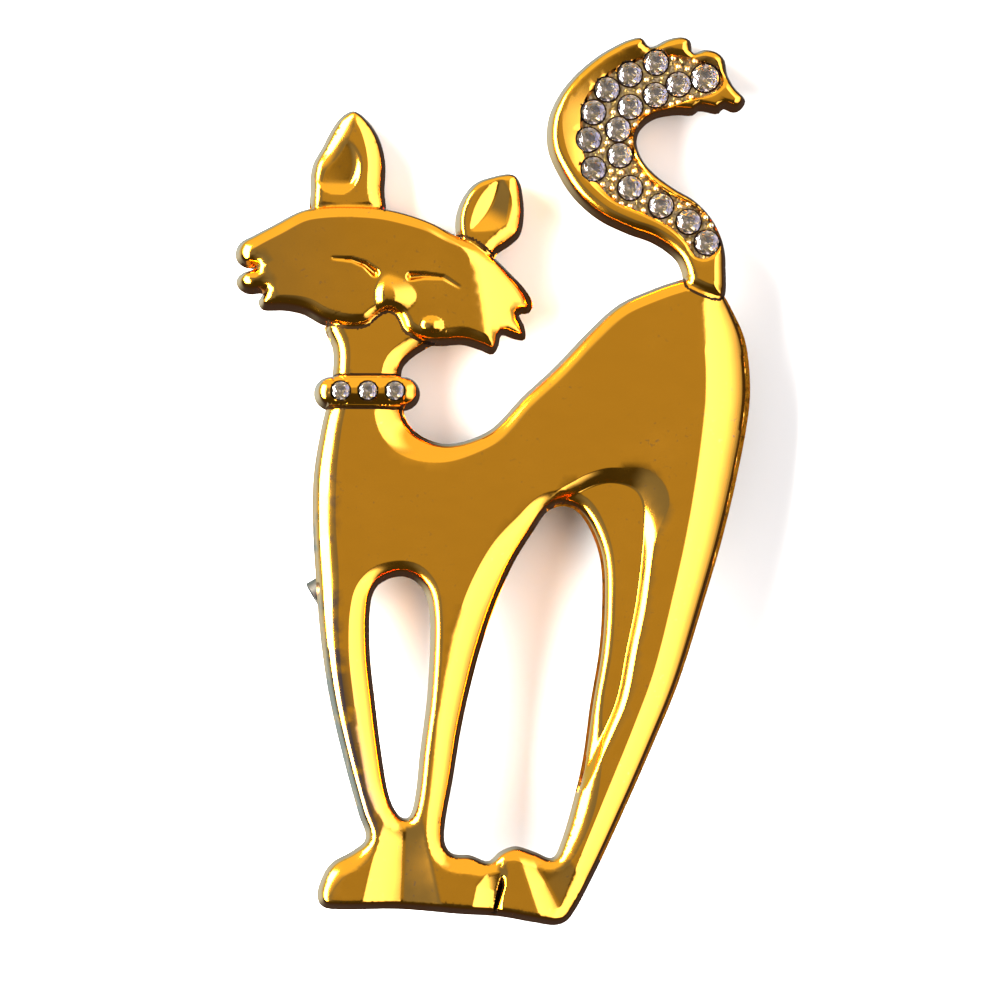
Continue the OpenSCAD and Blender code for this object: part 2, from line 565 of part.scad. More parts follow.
// A round brilliant cut: table, eight stars, eight kites, girdle, pavilion and point
module brilliant(d) {
    r = d / 2;
    step = 360 / 16;
    points = concat(
        ring(8, r * TABLE, d * (GIRDLE_H + CROWN_H), step),
        ring(8, r * CROWN_MID, d * (GIRDLE_H + 0.55 * CROWN_H), 0),
        ring(16, r, d * GIRDLE_H, 0),
        ring(16, r, 0, 0),
        ring(8, r * PAVILION_MID, -0.42 * d * PAVILION_H, 0),
        [[0, 0, -d * PAVILION_H]]
    );
    mid = 8;
    up = 16;
    low = 32;
    pav = 48;
    point = 56;
    polyhedron(points = points, faces = concat(
        [[7, 6, 5, 4, 3, 2, 1, 0]],
        [for (i = [0:7])
            let (
                next = (i + 1) % 8,
                last = (i + 7) % 8,
                g = 2 * i,
                g_next = (2 * i + 1) % 16,
                g_after = (2 * i + 2) % 16,
                g_last = (2 * i + 15) % 16
            )
            each [
                [last, i, mid + i],
                [i, mid + next, mid + i],
                [mid + i, mid + next, up + g_next],
                [mid + i, up + g_next, up + g],
                [mid + i, up + g, up + g_last],
                [up + g, up + g_next, low + g_next], [up + g, low + g_next, low + g],
                [up + g_next, up + g_after, low + g_after], [up + g_next, low + g_after, low + g_next],
                [pav + i, low + g, low + g_next], [pav + i, low + g_last, low + g],
                [pav + i, low + g_next, pav + next],
                [pav + i, pav + next, point]
            ]]
    ));
}

module set_stone(stone, girdle_t) {
    color(CRYSTAL) at_rest() translate([stone[0], stone[1], girdle_t]) brilliant(stone[2]);
}

// The flat outline of a bar with round ends
module bar_outline(from, to, w) {
    translate([from + w / 2, -w / 2]) square([to - from - w, w]);
    for (x = [from + w / 2, to - w / 2]) translate([x, 0]) circle(r = w / 2, $fn = 48);
}

// An ear of the hinge, with a round foot
module hinge_ear() {
    rotate([90, 0, 0]) linear_extrude(hinge_ear_t, center = true) {
        translate([-hinge_ear_r, -stem_drop]) square([2 * hinge_ear_r, stem_drop - bar_t / 2]);
        translate([0, -stem_drop]) circle(r = hinge_ear_r, $fn = 48);
    }
}

// A rolled catch, open on the side that the stem swings in from
module catch() {
    open_len = catch_len + 2 * past;
    difference() {
        along_x(0) cylinder(h = catch_len, r = catch_r, $fn = 48);
        along_x(-past) cylinder(h = open_len, r = catch_r - catch_wall, $fn = 48);
        translate([-past, 0, -stem_drop - stem_d / 2]) cube([open_len, 2 * catch_r, stem_d]);
        translate([-past, -catch_r, 0]) cube([open_len, 2 * catch_r, catch_r]);
    }
}

// Stands a cylinder's axis along the stem's centre line, from x on
module along_x(x) {
    translate([x, 0, -stem_drop]) rotate([0, 90, 0]) children();
}

module pin_back() {
    hinge_x = pin_len - bar_w / 2;
    color(STEEL) at_rest() translate([pin_at[0], pin_at[1], 0]) rotate([0, 0, pin_angle]) {
        translate([0, 0, -bar_t]) linear_extrude(bar_t) bar_outline(0.4 * catch_len, pin_len, bar_w);
        catch();
        for (s = [-1, 1]) translate([hinge_x, s * (hinge_slot + hinge_ear_t) / 2, 0]) hinge_ear();
        translate([hinge_x, 0, -stem_drop]) rotate([90, 0, 0])
            cylinder(h = hinge_slot + hinge_ear_t, r = 0.8 * stem_d, center = true, $fn = 48);
        along_x(catch_len) cylinder(h = hinge_x - catch_len, r = stem_d / 2, $fn = 48);
        along_x(0.2 * catch_len) cylinder(h = 0.8 * catch_len, r1 = stem_d / 6, r2 = stem_d / 2, $fn = 48);
    }
}

casting();
pin_back();
for (i = [0:len(tail_stones) - 1])
    set_stone(tail_stones[i], tail_girdle);
for (i = [0:len(collar_stones) - 1])
    set_stone(collar_stones[i], collar_girdle);
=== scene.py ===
"""Figural cat brooch: a polished gold casting, foil backed stones and a plated pin in soft studio light.

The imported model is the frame. The casting is modelled again here, finer than in the part's source: as a
relief over the same outlines, with rounded shoulders, tufts, hollows and the lines of the face.
"""

from __future__ import annotations

import logging
import math
from dataclasses import dataclass
from enum import Enum

import bpy
import numpy as np
from mathutils import Matrix, Vector
from mathutils.geometry import delaunay_2d_cdt

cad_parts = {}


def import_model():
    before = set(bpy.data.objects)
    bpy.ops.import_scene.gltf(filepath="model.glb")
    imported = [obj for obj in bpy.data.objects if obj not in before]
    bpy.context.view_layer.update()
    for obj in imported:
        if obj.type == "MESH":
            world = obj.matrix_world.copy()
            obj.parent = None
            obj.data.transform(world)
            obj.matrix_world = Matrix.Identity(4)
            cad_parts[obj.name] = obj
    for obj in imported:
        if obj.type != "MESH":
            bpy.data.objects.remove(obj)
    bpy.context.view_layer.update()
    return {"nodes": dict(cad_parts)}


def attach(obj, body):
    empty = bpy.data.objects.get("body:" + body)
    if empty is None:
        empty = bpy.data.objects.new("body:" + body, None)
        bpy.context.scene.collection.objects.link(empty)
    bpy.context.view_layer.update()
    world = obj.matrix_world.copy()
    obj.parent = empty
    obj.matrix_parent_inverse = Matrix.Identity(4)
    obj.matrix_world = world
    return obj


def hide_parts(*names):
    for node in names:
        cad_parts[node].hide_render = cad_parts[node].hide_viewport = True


LOG = logging.getLogger("brooch")
MM = 0.001
Rows = tuple[tuple[float, ...], ...]

# Outlines run counterclockwise. Columns: share of the box's width, share of its height, and the
# shoulder's width in millimetres.
CHEST: Rows = (
    (0.058, 1.000, 1.0), (0.073, 0.958, 1.0), (0.073, 0.922, 1.0), (0.062, 0.875, 1.2),
    (0.047, 0.825, 1.3), (0.031, 0.750, 1.5), (0.029, 0.667, 1.5), (0.036, 0.575, 1.5),
    (0.047, 0.475, 1.1), (0.067, 0.375, 0.8), (0.098, 0.275, 0.65), (0.131, 0.185, 0.6),
    (0.147, 0.145, 0.7),
)
SOLE: Rows = (
    (0.120, 0.125, 1.2), (0.069, 0.102, 1.3), (0.042, 0.062, 0.9), (0.044, 0.037, 0.6),
    (0.067, 0.027, 0.3), (0.222, 0.027, 0.3), (0.356, 0.019, 0.3), (0.444, 0.015, 0.3),
    (0.522, 0.005, 0.3), (0.569, 0.001, 0.4), (0.598, 0.012, 0.8),
)
RUMP: Rows = (
    (0.649, 0.080, 1.3), (0.711, 0.178, 1.6), (0.787, 0.307, 1.8), (0.842, 0.408, 2.0),
    (0.898, 0.542, 2.4), (0.940, 0.650, 2.8), (0.975, 0.762, 3.2), (0.998, 0.860, 3.5),
    (1.000, 0.917, 3.5), (0.989, 0.978, 3.2), (0.960, 1.028, 2.2), (0.938, 1.055, 1.2),
)
BACK: Rows = (
    (0.889, 1.082, 0.8), (0.844, 1.077, 0.9), (0.778, 1.060, 0.9), (0.707, 1.035, 0.9),
    (0.644, 0.993, 0.9), (0.567, 0.932, 0.9), (0.493, 0.880, 0.9), (0.427, 0.828, 1.0),
    (0.373, 0.808, 1.1), (0.322, 0.802, 1.4), (0.276, 0.812, 1.9), (0.244, 0.832, 2.3),
    (0.231, 0.855, 2.2), (0.227, 0.892, 1.6), (0.227, 0.925, 1.3), (0.249, 0.945, 1.1),
    (0.284, 0.962, 1.0), (0.322, 0.978, 0.9), (0.311, 1.012, 0.8), (0.178, 1.042, 0.8),
)
FRONT_GAP: Rows = (
    (0.218, 0.580, 0.8), (0.176, 0.567, 1.0), (0.158, 0.537, 1.3), (0.156, 0.458, 1.5),
    (0.167, 0.375, 1.5), (0.184, 0.275, 1.5), (0.200, 0.212, 1.4), (0.222, 0.182, 1.0),
    (0.242, 0.180, 0.7), (0.256, 0.213, 0.6), (0.267, 0.288, 0.6), (0.282, 0.375, 0.6),
    (0.289, 0.458, 0.6), (0.289, 0.512, 0.6), (0.278, 0.553, 0.7), (0.251, 0.575, 0.8),
)
BELLY_GAP: Rows = (
    (0.587, 0.698, 0.8), (0.551, 0.690, 1.0), (0.520, 0.658, 1.4), (0.476, 0.605, 2.0),
    (0.436, 0.537, 2.3), (0.404, 0.467, 2.2), (0.380, 0.400, 2.0), (0.358, 0.325, 1.8),
    (0.340, 0.242, 1.5), (0.324, 0.175, 1.3), (0.322, 0.138, 1.2), (0.338, 0.120, 1.3),
    (0.378, 0.117, 1.4), (0.418, 0.107, 1.0), (0.444, 0.123, 0.8), (0.478, 0.132, 1.0),
    (0.520, 0.123, 1.0), (0.560, 0.113, 0.9), (0.580, 0.140, 1.2), (0.604, 0.200, 1.5),
    (0.627, 0.275, 1.2), (0.644, 0.367, 0.65), (0.664, 0.458, 0.65), (0.671, 0.542, 0.65),
    (0.667, 0.608, 0.7), (0.647, 0.655, 0.8), (0.618, 0.688, 0.9),
)
FAR_LEG: Rows = (
    (0.598, 0.225, 0.5), (0.620, 0.232, 0.5), (0.646, 0.275, 0.7), (0.672, 0.320, 0.8),
    (0.702, 0.375, 0.85), (0.724, 0.458, 0.85), (0.744, 0.532, 0.85), (0.758, 0.615, 0.9),
    (0.762, 0.662, 1.3), (0.760, 0.700, 2.2), (0.745, 0.722, 2.0), (0.715, 0.733, 1.3),
    (0.676, 0.735, 1.1), (0.627, 0.722, 1.0), (0.573, 0.695, 0.8), (0.591, 0.658, 0.4),
    (0.631, 0.592, 0.4), (0.640, 0.500, 0.4), (0.622, 0.392, 0.4), (0.604, 0.310, 0.4),
)
FACE: Rows = (
    (0.217, 0.960, 0.9), (0.133, 0.873, 0.9), (0.057, 0.793, 0.9), (0.017, 0.747, 1.0),
    (0.000, 0.673, 1.0), (0.010, 0.613, 0.9), (0.037, 0.577, 0.7), (0.063, 0.573, 0.7),
    (0.023, 0.543, 0.8), (0.003, 0.487, 1.0), (0.017, 0.430, 1.0), (0.050, 0.400, 0.8),
    (0.092, 0.407, 0.7), (0.077, 0.350, 0.7), (0.093, 0.297, 0.6), (0.163, 0.293, 0.7),
    (0.227, 0.267, 0.8), (0.290, 0.200, 0.8), (0.367, 0.160, 0.8), (0.437, 0.173, 0.7),
    (0.477, 0.240, 0.6), (0.510, 0.267, 0.6), (0.537, 0.233, 0.6), (0.560, 0.140, 0.7),
    (0.617, 0.073, 0.7), (0.683, 0.060, 0.8), (0.757, 0.067, 0.9), (0.817, 0.033, 0.8),
    (0.857, 0.003, 0.7), (0.877, 0.057, 0.6), (0.887, 0.133, 0.6), (0.930, 0.107, 0.6),
    (0.965, 0.103, 0.6), (0.965, 0.187, 0.6), (0.947, 0.273, 0.6), (0.977, 0.280, 0.6),
    (0.992, 0.340, 0.6), (0.967, 0.440, 0.6), (0.917, 0.547, 0.6), (0.870, 0.640, 0.6),
    (0.800, 0.747, 0.7), (0.723, 0.813, 0.8), (0.650, 0.887, 0.8), (0.563, 0.947, 0.9),
    (0.483, 0.980, 0.9), (0.383, 0.993, 0.9), (0.290, 0.987, 0.9),
)
LEFT_EAR: Rows = (
    (0.040, 0.000, 0.7), (0.970, 0.000, 0.9), (0.990, 0.240, 1.2), (1.000, 0.495, 1.2),
    (0.930, 0.714, 1.1), (0.787, 0.886, 0.8), (0.587, 1.000, 0.5), (0.427, 0.952, 0.9),
    (0.293, 0.829, 1.3), (0.160, 0.648, 1.3), (0.027, 0.467, 0.9), (0.000, 0.238, 0.6),
)
RIGHT_EAR: Rows = (
    (0.114, 0.133, 0.4), (0.514, 0.000, 0.5), (0.629, 0.100, 0.9), (0.800, 0.189, 1.1),
    (0.943, 0.300, 1.1), (1.000, 0.511, 1.1), (0.986, 0.733, 0.9), (0.929, 0.920, 0.6),
    (0.829, 0.989, 0.5), (0.586, 0.967, 0.4), (0.286, 0.878, 0.4), (0.086, 0.667, 0.4),
    (0.014, 0.411, 0.4),
)
TAIL: Rows = (
    (0.695, 0.056, 0.8), (0.867, 0.019, 0.8), (0.886, 0.159, 0.7), (0.871, 0.241, 0.5),
    (0.819, 0.326, 0.4), (0.738, 0.393, 0.4), (0.643, 0.437, 0.4), (0.552, 0.489, 0.4),
    (0.490, 0.544, 0.4), (0.462, 0.607, 0.4), (0.481, 0.656, 0.4), (0.548, 0.696, 0.4),
    (0.648, 0.711, 0.4), (0.711, 0.709, 0.4), (0.735, 0.712, 0.3), (0.752, 0.725, 0.3),
    (0.785, 0.724, 0.3), (0.836, 0.716, 0.3), (0.857, 0.719, 0.3), (0.871, 0.735, 0.3),
    (0.893, 0.730, 0.3), (0.922, 0.721, 0.4), (0.957, 0.731, 0.5), (0.981, 0.767, 0.5),
    (0.929, 0.815, 0.5), (0.895, 0.863, 0.5),
    (0.881, 0.919, 0.5), (0.843, 0.948, 0.5), (0.786, 0.956, 0.5), (0.731, 0.944, 0.5),
    (0.719, 0.989, 0.5), (0.676, 1.004, 0.5), (0.605, 0.993, 0.5), (0.526, 0.965, 0.5),
    (0.486, 1.000, 0.5), (0.424, 0.993, 0.5), (0.343, 0.963, 0.5), (0.267, 0.926, 0.5),
    (0.167, 0.859, 0.5), (0.086, 0.778, 0.5), (0.038, 0.685, 0.5), (0.038, 0.581, 0.5),
    (0.090, 0.485, 0.6), (0.167, 0.396, 0.7), (0.281, 0.319, 0.7), (0.419, 0.267, 0.7),
    (0.538, 0.233, 0.7), (0.643, 0.174, 0.6), (0.676, 0.122, 0.6),
)
BED: Rows = (
    (0.786, 0.170, 0.3), (0.843, 0.204, 0.2), (0.852, 0.248, 0.2), (0.814, 0.307, 0.2),
    (0.733, 0.359, 0.2), (0.629, 0.400, 0.2), (0.533, 0.448, 0.2), (0.467, 0.515, 0.2),
    (0.433, 0.589, 0.2), (0.448, 0.656, 0.2), (0.505, 0.704, 0.2), (0.590, 0.730, 0.2),
    (0.714, 0.762, 0.2), (0.815, 0.784, 0.3), (0.866, 0.826, 0.4), (0.838, 0.874, 0.5),
    (0.733, 0.905, 0.6), (0.619, 0.922, 0.6), (0.480, 0.908, 1.3), (0.360, 0.868, 1.6),
    (0.266, 0.806, 1.8), (0.210, 0.735, 1.8), (0.198, 0.641, 1.7), (0.214, 0.545, 1.3),
    (0.264, 0.456, 0.6), (0.357, 0.381, 0.3), (0.500, 0.333, 0.3), (0.619, 0.285, 0.3),
    (0.695, 0.230, 0.3), (0.733, 0.181, 0.3),
)
# Closed eyes, columns: share of the head's width and height, then radius and depth in millimetres
LEFT_EYE: Rows = (
    (0.323, 0.622, 0.16, 0.06), (0.385, 0.613, 0.22, 0.16), (0.430, 0.580, 0.30, 0.28),
    (0.463, 0.525, 0.42, 0.40),
)
RIGHT_EYE: Rows = (
    (0.582, 0.500, 0.42, 0.36), (0.625, 0.507, 0.32, 0.22), (0.690, 0.497, 0.20, 0.13),
    (0.742, 0.433, 0.16, 0.05),
)
# Valleys, from their upper end down. Columns: shares of the box, the widths of the left and the right
# slope and the depth, in millimetres
BETWEEN_LEGS: Rows = (
    (0.2335, 0.160, 2.0, 1.5, 0.40), (0.2300, 0.090, 2.8, 2.4, 0.55), (0.2270, 0.028, 3.4, 3.2, 0.65),
)
BETWEEN_PAWS: Rows = (
    (0.4430, 0.085, 1.0, 0.6, 0.12), (0.4320, 0.055, 1.6, 0.7, 0.35), (0.4270, 0.018, 1.8, 0.7, 0.42),
)
OVER_HEEL: Rows = (
    (0.5050, 0.118, 0.9, 2.0, 0.10), (0.5450, 0.070, 1.5, 2.6, 0.30), (0.5800, 0.022, 2.0, 3.0, 0.36),
)
# The edge of the right cheek, from the brow down, beyond which the face falls away
CHEEK: Rows = (
    (0.560, 0.980), (0.605, 0.920), (0.650, 0.862), (0.721, 0.754), (0.770, 0.650), (0.796, 0.550),
    (0.810, 0.420), (0.820, 0.300), (0.838, 0.056), (0.855, -0.100),
)
# The two ends of the right ear's hollow
RIGHT_SCOOP: Rows = ((0.640, 0.930), (0.210, 0.320))
# The slit that parts the two paws, in the columns of the eyes
PAW_SLIT: Rows = (
    (0.447, 0.078, 0.30, 0.2), (0.445, 0.064, 0.38, 0.8), (0.438, 0.044, 0.34, 1.0),
    (0.430, 0.018, 0.26, 0.8),
)

# The room's light, as places along an axis from 0 to 1 and how bright it is there: the ceiling from the
# paws' side to the ears' side, and the right hand window from the zenith down
ROOM_ABOVE: Rows = (
    (0.30, 0.05), (0.40, 0.10), (0.47, 0.30), (0.54, 0.46), (0.60, 0.52), (0.66, 0.85), (0.72, 1.1),
)
WINDOW_ACROSS: Rows = (
    (0.20, 0.0), (0.29, 0.35), (0.36, 0.8), (0.50, 1.0), (0.80, 0.8), (0.90, 0.4), (0.97, 0.15),
)
# Below this angle between two faces, in degrees, the casting is smooth
SMOOTH_BELOW = 50


def smooth_loop(rows: Rows, at: tuple[float, float], size: tuple[float, float], pitch: float) -> np.ndarray:
    """Draws the smooth closed curve through an outline's rows.

    Args:
        rows: shares of the box, with a shoulder width.
        at: the box's lower left corner, in millimetres.
        size: the box's width and height, in millimetres.
        pitch: distance between the points of the curve, in millimetres.

    Returns:
        Points of x, y and shoulder width, evenly spaced along the curve.
    """
    table = placed(rows, at, size)
    before, after = np.roll(table, 1, 0), np.roll(table, -1, 0)
    later = np.roll(table, -2, 0)
    here = np.linalg.norm((table - before)[:, :2], axis=1)
    run = np.linalg.norm((after - table)[:, :2], axis=1)
    there = np.linalg.norm((later - after)[:, :2], axis=1)
    leave = (after - before) * (run / (here + run))[:, None]
    reach = (later - table) * (run / (run + there))[:, None]
    t = np.linspace(0, 1, 12, endpoint=False)[:, None, None]
    curve = (
        table * (2 * t**3 - 3 * t**2 + 1)
        + leave * (t**3 - 2 * t**2 + t)
        + after * (3 * t**2 - 2 * t**3)
        + reach * (t**3 - t**2)
    )
    curve = curve.transpose(1, 0, 2).reshape(-1, table.shape[1])
    closed = np.vstack([curve, curve[:1]])
    length = np.concatenate([[0], np.cumsum(np.linalg.norm(np.diff(closed[:, :2], axis=0), axis=1))])
    count = max(12, round(length[-1] / pitch))
    stops = np.linspace(0, length[-1], count, endpoint=False)
    return np.stack([np.interp(stops, length, closed[:, k]) for k in range(table.shape[1])], 1)


def to_segments(points: np.ndarray, a: np.ndarray, b: np.ndarray) -> tuple[np.ndarray, np.ndarray]:
    """Measures from points to straight runs.

    Args:
        points: x and y of each point.
        a: the runs' first ends.
        b: the runs' other ends.

    Returns:
        The distance of each point from each run, and how far along the run its nearest place is.
    """
    run = (b - a)[:, :2]
    square = np.maximum((run**2).sum(1), 1e-12)
    off = points[:, None, :] - a[None, :, :2]
    t = np.clip((off * run).sum(2) / square, 0, 1)
    return np.linalg.norm(off - t[..., None] * run, axis=2), t


def along(a: np.ndarray, b: np.ndarray, t: np.ndarray, column: int) -> np.ndarray:
    """Gives a column's value at a place along each run."""
    return a[:, column] + t * (b - a)[:, column]


def placed(rows: Rows, at: tuple[float, float], size: tuple[float, float]) -> np.ndarray:
    """Puts a table's shares in their place, in millimetres."""
    table = np.array(rows, float)
    table[:, 0] = at[0] + table[:, 0] * size[0]
    table[:, 1] = at[1] + table[:, 1] * size[1]
    return table


def nearest_on(points: np.ndarray, table: np.ndarray) -> tuple[np.ndarray, np.ndarray, np.ndarray]:
    """Finds the nearest place on a line for each point.

    Args:
        points: x and y of each point.
        table: the line's rows.

    Returns:
        The distance, the table's columns at that place, and whether the point is left of the line's run.
    """
    gap, t = to_segments(points, table[:-1], table[1:])
    pick = gap.argmin(1)
    index = np.arange(len(points))
    place = pick + t[index, pick]
    rows = np.arange(len(table))
    columns = np.stack([np.interp(place, rows, column) for column in table.T], 1)
    run = (table[1:] - table[:-1])[pick]
    off = points - table[pick, :2]
    return gap[index, pick], columns, run[:, 0] * off[:, 1] - run[:, 1] * off[:, 0] > 0


def inside(points: np.ndarray, loop: np.ndarray) -> np.ndarray:
    """Tells which points lie inside a closed loop.

    Args:
        points: x and y of each point.
        loop: the loop's points.

    Returns:
        True for each point inside.
    """
    x0, y0 = loop[:, 0], loop[:, 1]
    x1, y1 = np.roll(x0, -1), np.roll(y0, -1)
    found = np.zeros(len(points), bool)
    for start in range(0, len(points), 8000):
        px, py = points[start:start + 8000, 0][:, None], points[start:start + 8000, 1][:, None]
        crosses = (y0 > py) != (y1 > py)
        with np.errstate(divide="ignore", invalid="ignore"):
            at_x = x0 + (py - y0) * (x1 - x0) / (y1 - y0)
        found[start:start + 8000] = (crosses & (px < at_x)).sum(1) % 2 == 1
    return found


def rounded(share: np.ndarray, slope: float) -> np.ndarray:
    """Gives a shoulder's rise over its width.

    Args:
        share: how far in over the shoulder, from 0 to 1.
        slope: how much of it is a plain slope, which leaves a crisp line at the flat face.

    Returns:
        The rise, from 0 to 1.
    """
    u = np.clip(share, 0, 1)
    return (1 - slope) * (1 - (1 - u) ** 2) + slope * u


@dataclass
class Hollow:
    """A sunk floor with rounded edges, such as the bed of the tail."""

    loop: np.ndarray
    floor: float
    slope: float = 0.15
    step: float = 0.0

    def cut(self, points: np.ndarray, top: float) -> np.ndarray:
        """Gives the face's height with the hollow in it.

        Args:
            points: x and y of each point.
            top: the height of the face that the hollow is in.

        Returns:
            The face's height at each point.
        """
        face = np.full(len(points), top)
        low, high = self.loop[:, :2].min(0) - 4, self.loop[:, :2].max(0) + 4
        near = np.flatnonzero(np.all((points > low) & (points < high), axis=1))
        after = np.roll(self.loop, -1, 0)
        for start in range(0, len(near), 4000):
            part = near[start:start + 4000]
            gap, t = to_segments(points[part], self.loop, after)
            share = (gap / along(self.loop, after, t, 2)).min(1)
            rise = self.step * np.clip(share / 0.12, 0, 1) + (1 - self.step) * rounded(share, self.slope)
            rise = np.where(inside(points[part], self.loop), 0, rise)
            face[part] = self.floor + (top - self.floor) * rise
        return face

    def rings(self) -> np.ndarray:
        """Gives rings of points over the hollow's edge."""
        side = leftward(self.loop)
        widths = [-0.12 / np.maximum(self.loop[:, 2], 0.1)] + [np.full(len(self.loop), s) for s in
                                                                 (0, 0.06, 0.12, 0.25, 0.5, 0.75, 0.95, 1)]
        widths.append(1 + 0.06 / self.loop[:, 2])
        return np.vstack([self.loop[:, :2] - side * (w * self.loop[:, 2])[:, None] for w in widths])


def leftward(loop: np.ndarray) -> np.ndarray:
    """Gives the unit vector to the left of a loop's run at each point."""
    step = np.roll(loop, -1, 0)[:, :2] - np.roll(loop, 1, 0)[:, :2]
    step /= np.maximum(np.linalg.norm(step, axis=1), 1e-9)[:, None]
    return np.stack([-step[:, 1], step[:, 0]], 1)


@dataclass
class Plate:
    """One raised form of the casting: a leaning wall, a rounded shoulder and a flat face."""

    loops: list[np.ndarray]
    top: float
    fall: float = 0.45
    foot: float = 0.7
    draft: float = 0.35
    slope: float = 0.37
    crest: float = 0.7

    def measure(self, points: np.ndarray) -> tuple[np.ndarray, np.ndarray, np.ndarray]:
        """Measures points against the form's edges.

        Args:
            points: x and y of each point.

        Returns:
            Which points are inside, the distance from the edge, and how far the shoulder lies below
            the face there.
        """
        low, high = self.loops[0][:, :2].min(0), self.loops[0][:, :2].max(0)
        near = np.flatnonzero(np.all((points >= low - 1e-6) & (points <= high + 1e-6), axis=1))
        within = np.zeros(len(points), bool)
        gap = np.zeros(len(points))
        sunk = np.zeros(len(points))
        local = points[near]
        a = np.vstack(self.loops)
        b = np.vstack([np.roll(loop, -1, 0) for loop in self.loops])
        for start in range(0, len(local), 4000):
            part = slice(start, start + 4000)
            distance, t = to_segments(local[part], a, b)
            room = along(a, b, t, 2)
            gap[near[part]] = distance.min(1)
            rise = rounded((distance - self.draft) / room, self.slope)
            sunk[near[part]] = (self.fall * room * (1 - rise)).max(1)
        within[near] = self.holds(local)
        return within, gap, sunk

    def lay(self, points: np.ndarray, below: np.ndarray, face: np.ndarray) -> np.ndarray:
        """Lays the form over what lies below it.

        Args:
            points: x and y of each point.
            below: the height so far, which is less than 0 where nothing is.
            face: the height of the form's own face at each point.

        Returns:
            The new heights.
        """
        within, gap, sunk = self.measure(points)
        full = face - sunk
        # The wall meets the shoulder in a small round
        wall = full * gap / self.draft
        round_off = np.clip(self.crest - np.abs(wall - full), 0, self.crest) / self.crest
        own = np.minimum(wall, full) - round_off**2 * self.crest / 4
        # Over another form the wall turns into a soft slope
        step = np.clip(gap / self.foot, 0, 1)
        low = np.maximum(below, own)
        slope = low + (full - low) * step**2 * (3 - 2 * step)
        own = own + (slope - own) * np.clip(below, 0, 1)
        return np.where(within | (gap < 1e-4), own, below)

    def holds(self, points: np.ndarray) -> np.ndarray:
        """Tells which points lie on the form and in none of its gaps."""
        found = inside(points, self.loops[0])
        for loop in self.loops[1:]:
            found &= ~inside(points, loop)
        return found

    def off_wall(self, points: np.ndarray) -> np.ndarray:
        """Leaves out points on the form's wall, where the rings alone give the shape."""
        within, gap, _ = self.measure(points)
        return points[~(within & (gap < self.draft + 0.1))]

    def rings(self) -> list[np.ndarray]:
        """Gives rings of points over the wall and the shoulder, the form's edge left out."""
        found = []
        for turn, loop in enumerate(self.loops):
            side = leftward(loop) * (1 if turn == 0 else -1)
            depths = [np.full(len(loop), self.draft * share) for share in (0.5, 0.72, 0.86, 1.0, 1.14, 1.3)]
            depths += [self.draft + s * loop[:, 2] for s in (0.14, 0.28, 0.43, 0.6, 0.78, 0.94, 1)]
            depths += [self.draft + loop[:, 2] + 0.06]
            for depth in depths:
                ring = loop[:, :2] + side * depth[:, None]
                within, gap, _ = self.measure(ring)
                found.append(ring[within & (gap > 0.96 * depth)])
        return found


def line_depth(points: np.ndarray, table: np.ndarray) -> np.ndarray:
    """Gives how deep a round line is cut at points.

    Args:
        points: x and y of each point.
        table: the line's rows: place, radius and depth.

    Returns:
        The depth in millimetres.
    """
    gap, columns, _ = nearest_on(points, table)
    u = np.clip(gap / columns[:, 2], 0, 1)
    return columns[:, 3] * (1 - u**2) ** 2


def valley(points: np.ndarray, table: np.ndarray) -> np.ndarray:
    """Gives how deep a valley with two unlike slopes is at points.

    Args:
        points: x and y of each point.
        table: the valley's rows from its upper end down: place, widths of the left and the right
            slope, and depth.

    Returns:
        The depth in millimetres.
    """
    gap, columns, on_right = nearest_on(points, table)
    width = np.where(on_right, columns[:, 3], columns[:, 2])
    u = np.clip(gap / width, 0, 1)
    return columns[:, 4] * (1 - u) * (1 + 0.3 * u)


def dome(points: np.ndarray, centre: tuple[float, float], radii: tuple[float, float]) -> np.ndarray:
    """Gives a bump of height 1.

    Args:
        points: x and y of each point.
        centre: its middle.
        radii: its half width and half height.

    Returns:
        The bump's height at each point, from 0 to 1.
    """
    x, y = ((points - np.array(centre)) / np.array(radii)).T
    return np.clip(1 - x**2 - y**2, 0, 1)


@dataclass
class Stone:
    """A round cut stone's place in the flat drawing, and its seat."""

    x: float
    y: float
    d: float
    girdle: float
    gap: float = 0.1

    def seat(self, points: np.ndarray, height: np.ndarray) -> np.ndarray:
        """Lowers heights to the stone's conical seat."""
        r = np.hypot(points[:, 0] - self.x, points[:, 1] - self.y)
        edge = self.d / 2 + self.gap
        deep = 0.48 * self.d
        cone = self.girdle - self.gap - deep * (edge - r) / (edge - self.gap / 2)
        return np.where(r < edge - 1e-6, np.minimum(height, cone), height)

    def rings(self) -> np.ndarray:
        """Gives rings of points on the seat's edge and down its wall."""
        edge = self.d / 2 + self.gap
        found = []
        circles = ((edge + 0.03, 28), (edge - 0.01, 28), (0.8 * edge, 20), (0.45 * edge, 12), (0, 1))
        for radius, count in circles:
            a = np.arange(count) * 2 * math.pi / count
            found.append(np.stack([self.x + radius * np.cos(a), self.y + radius * np.sin(a)], 1))
        return np.vstack(found)


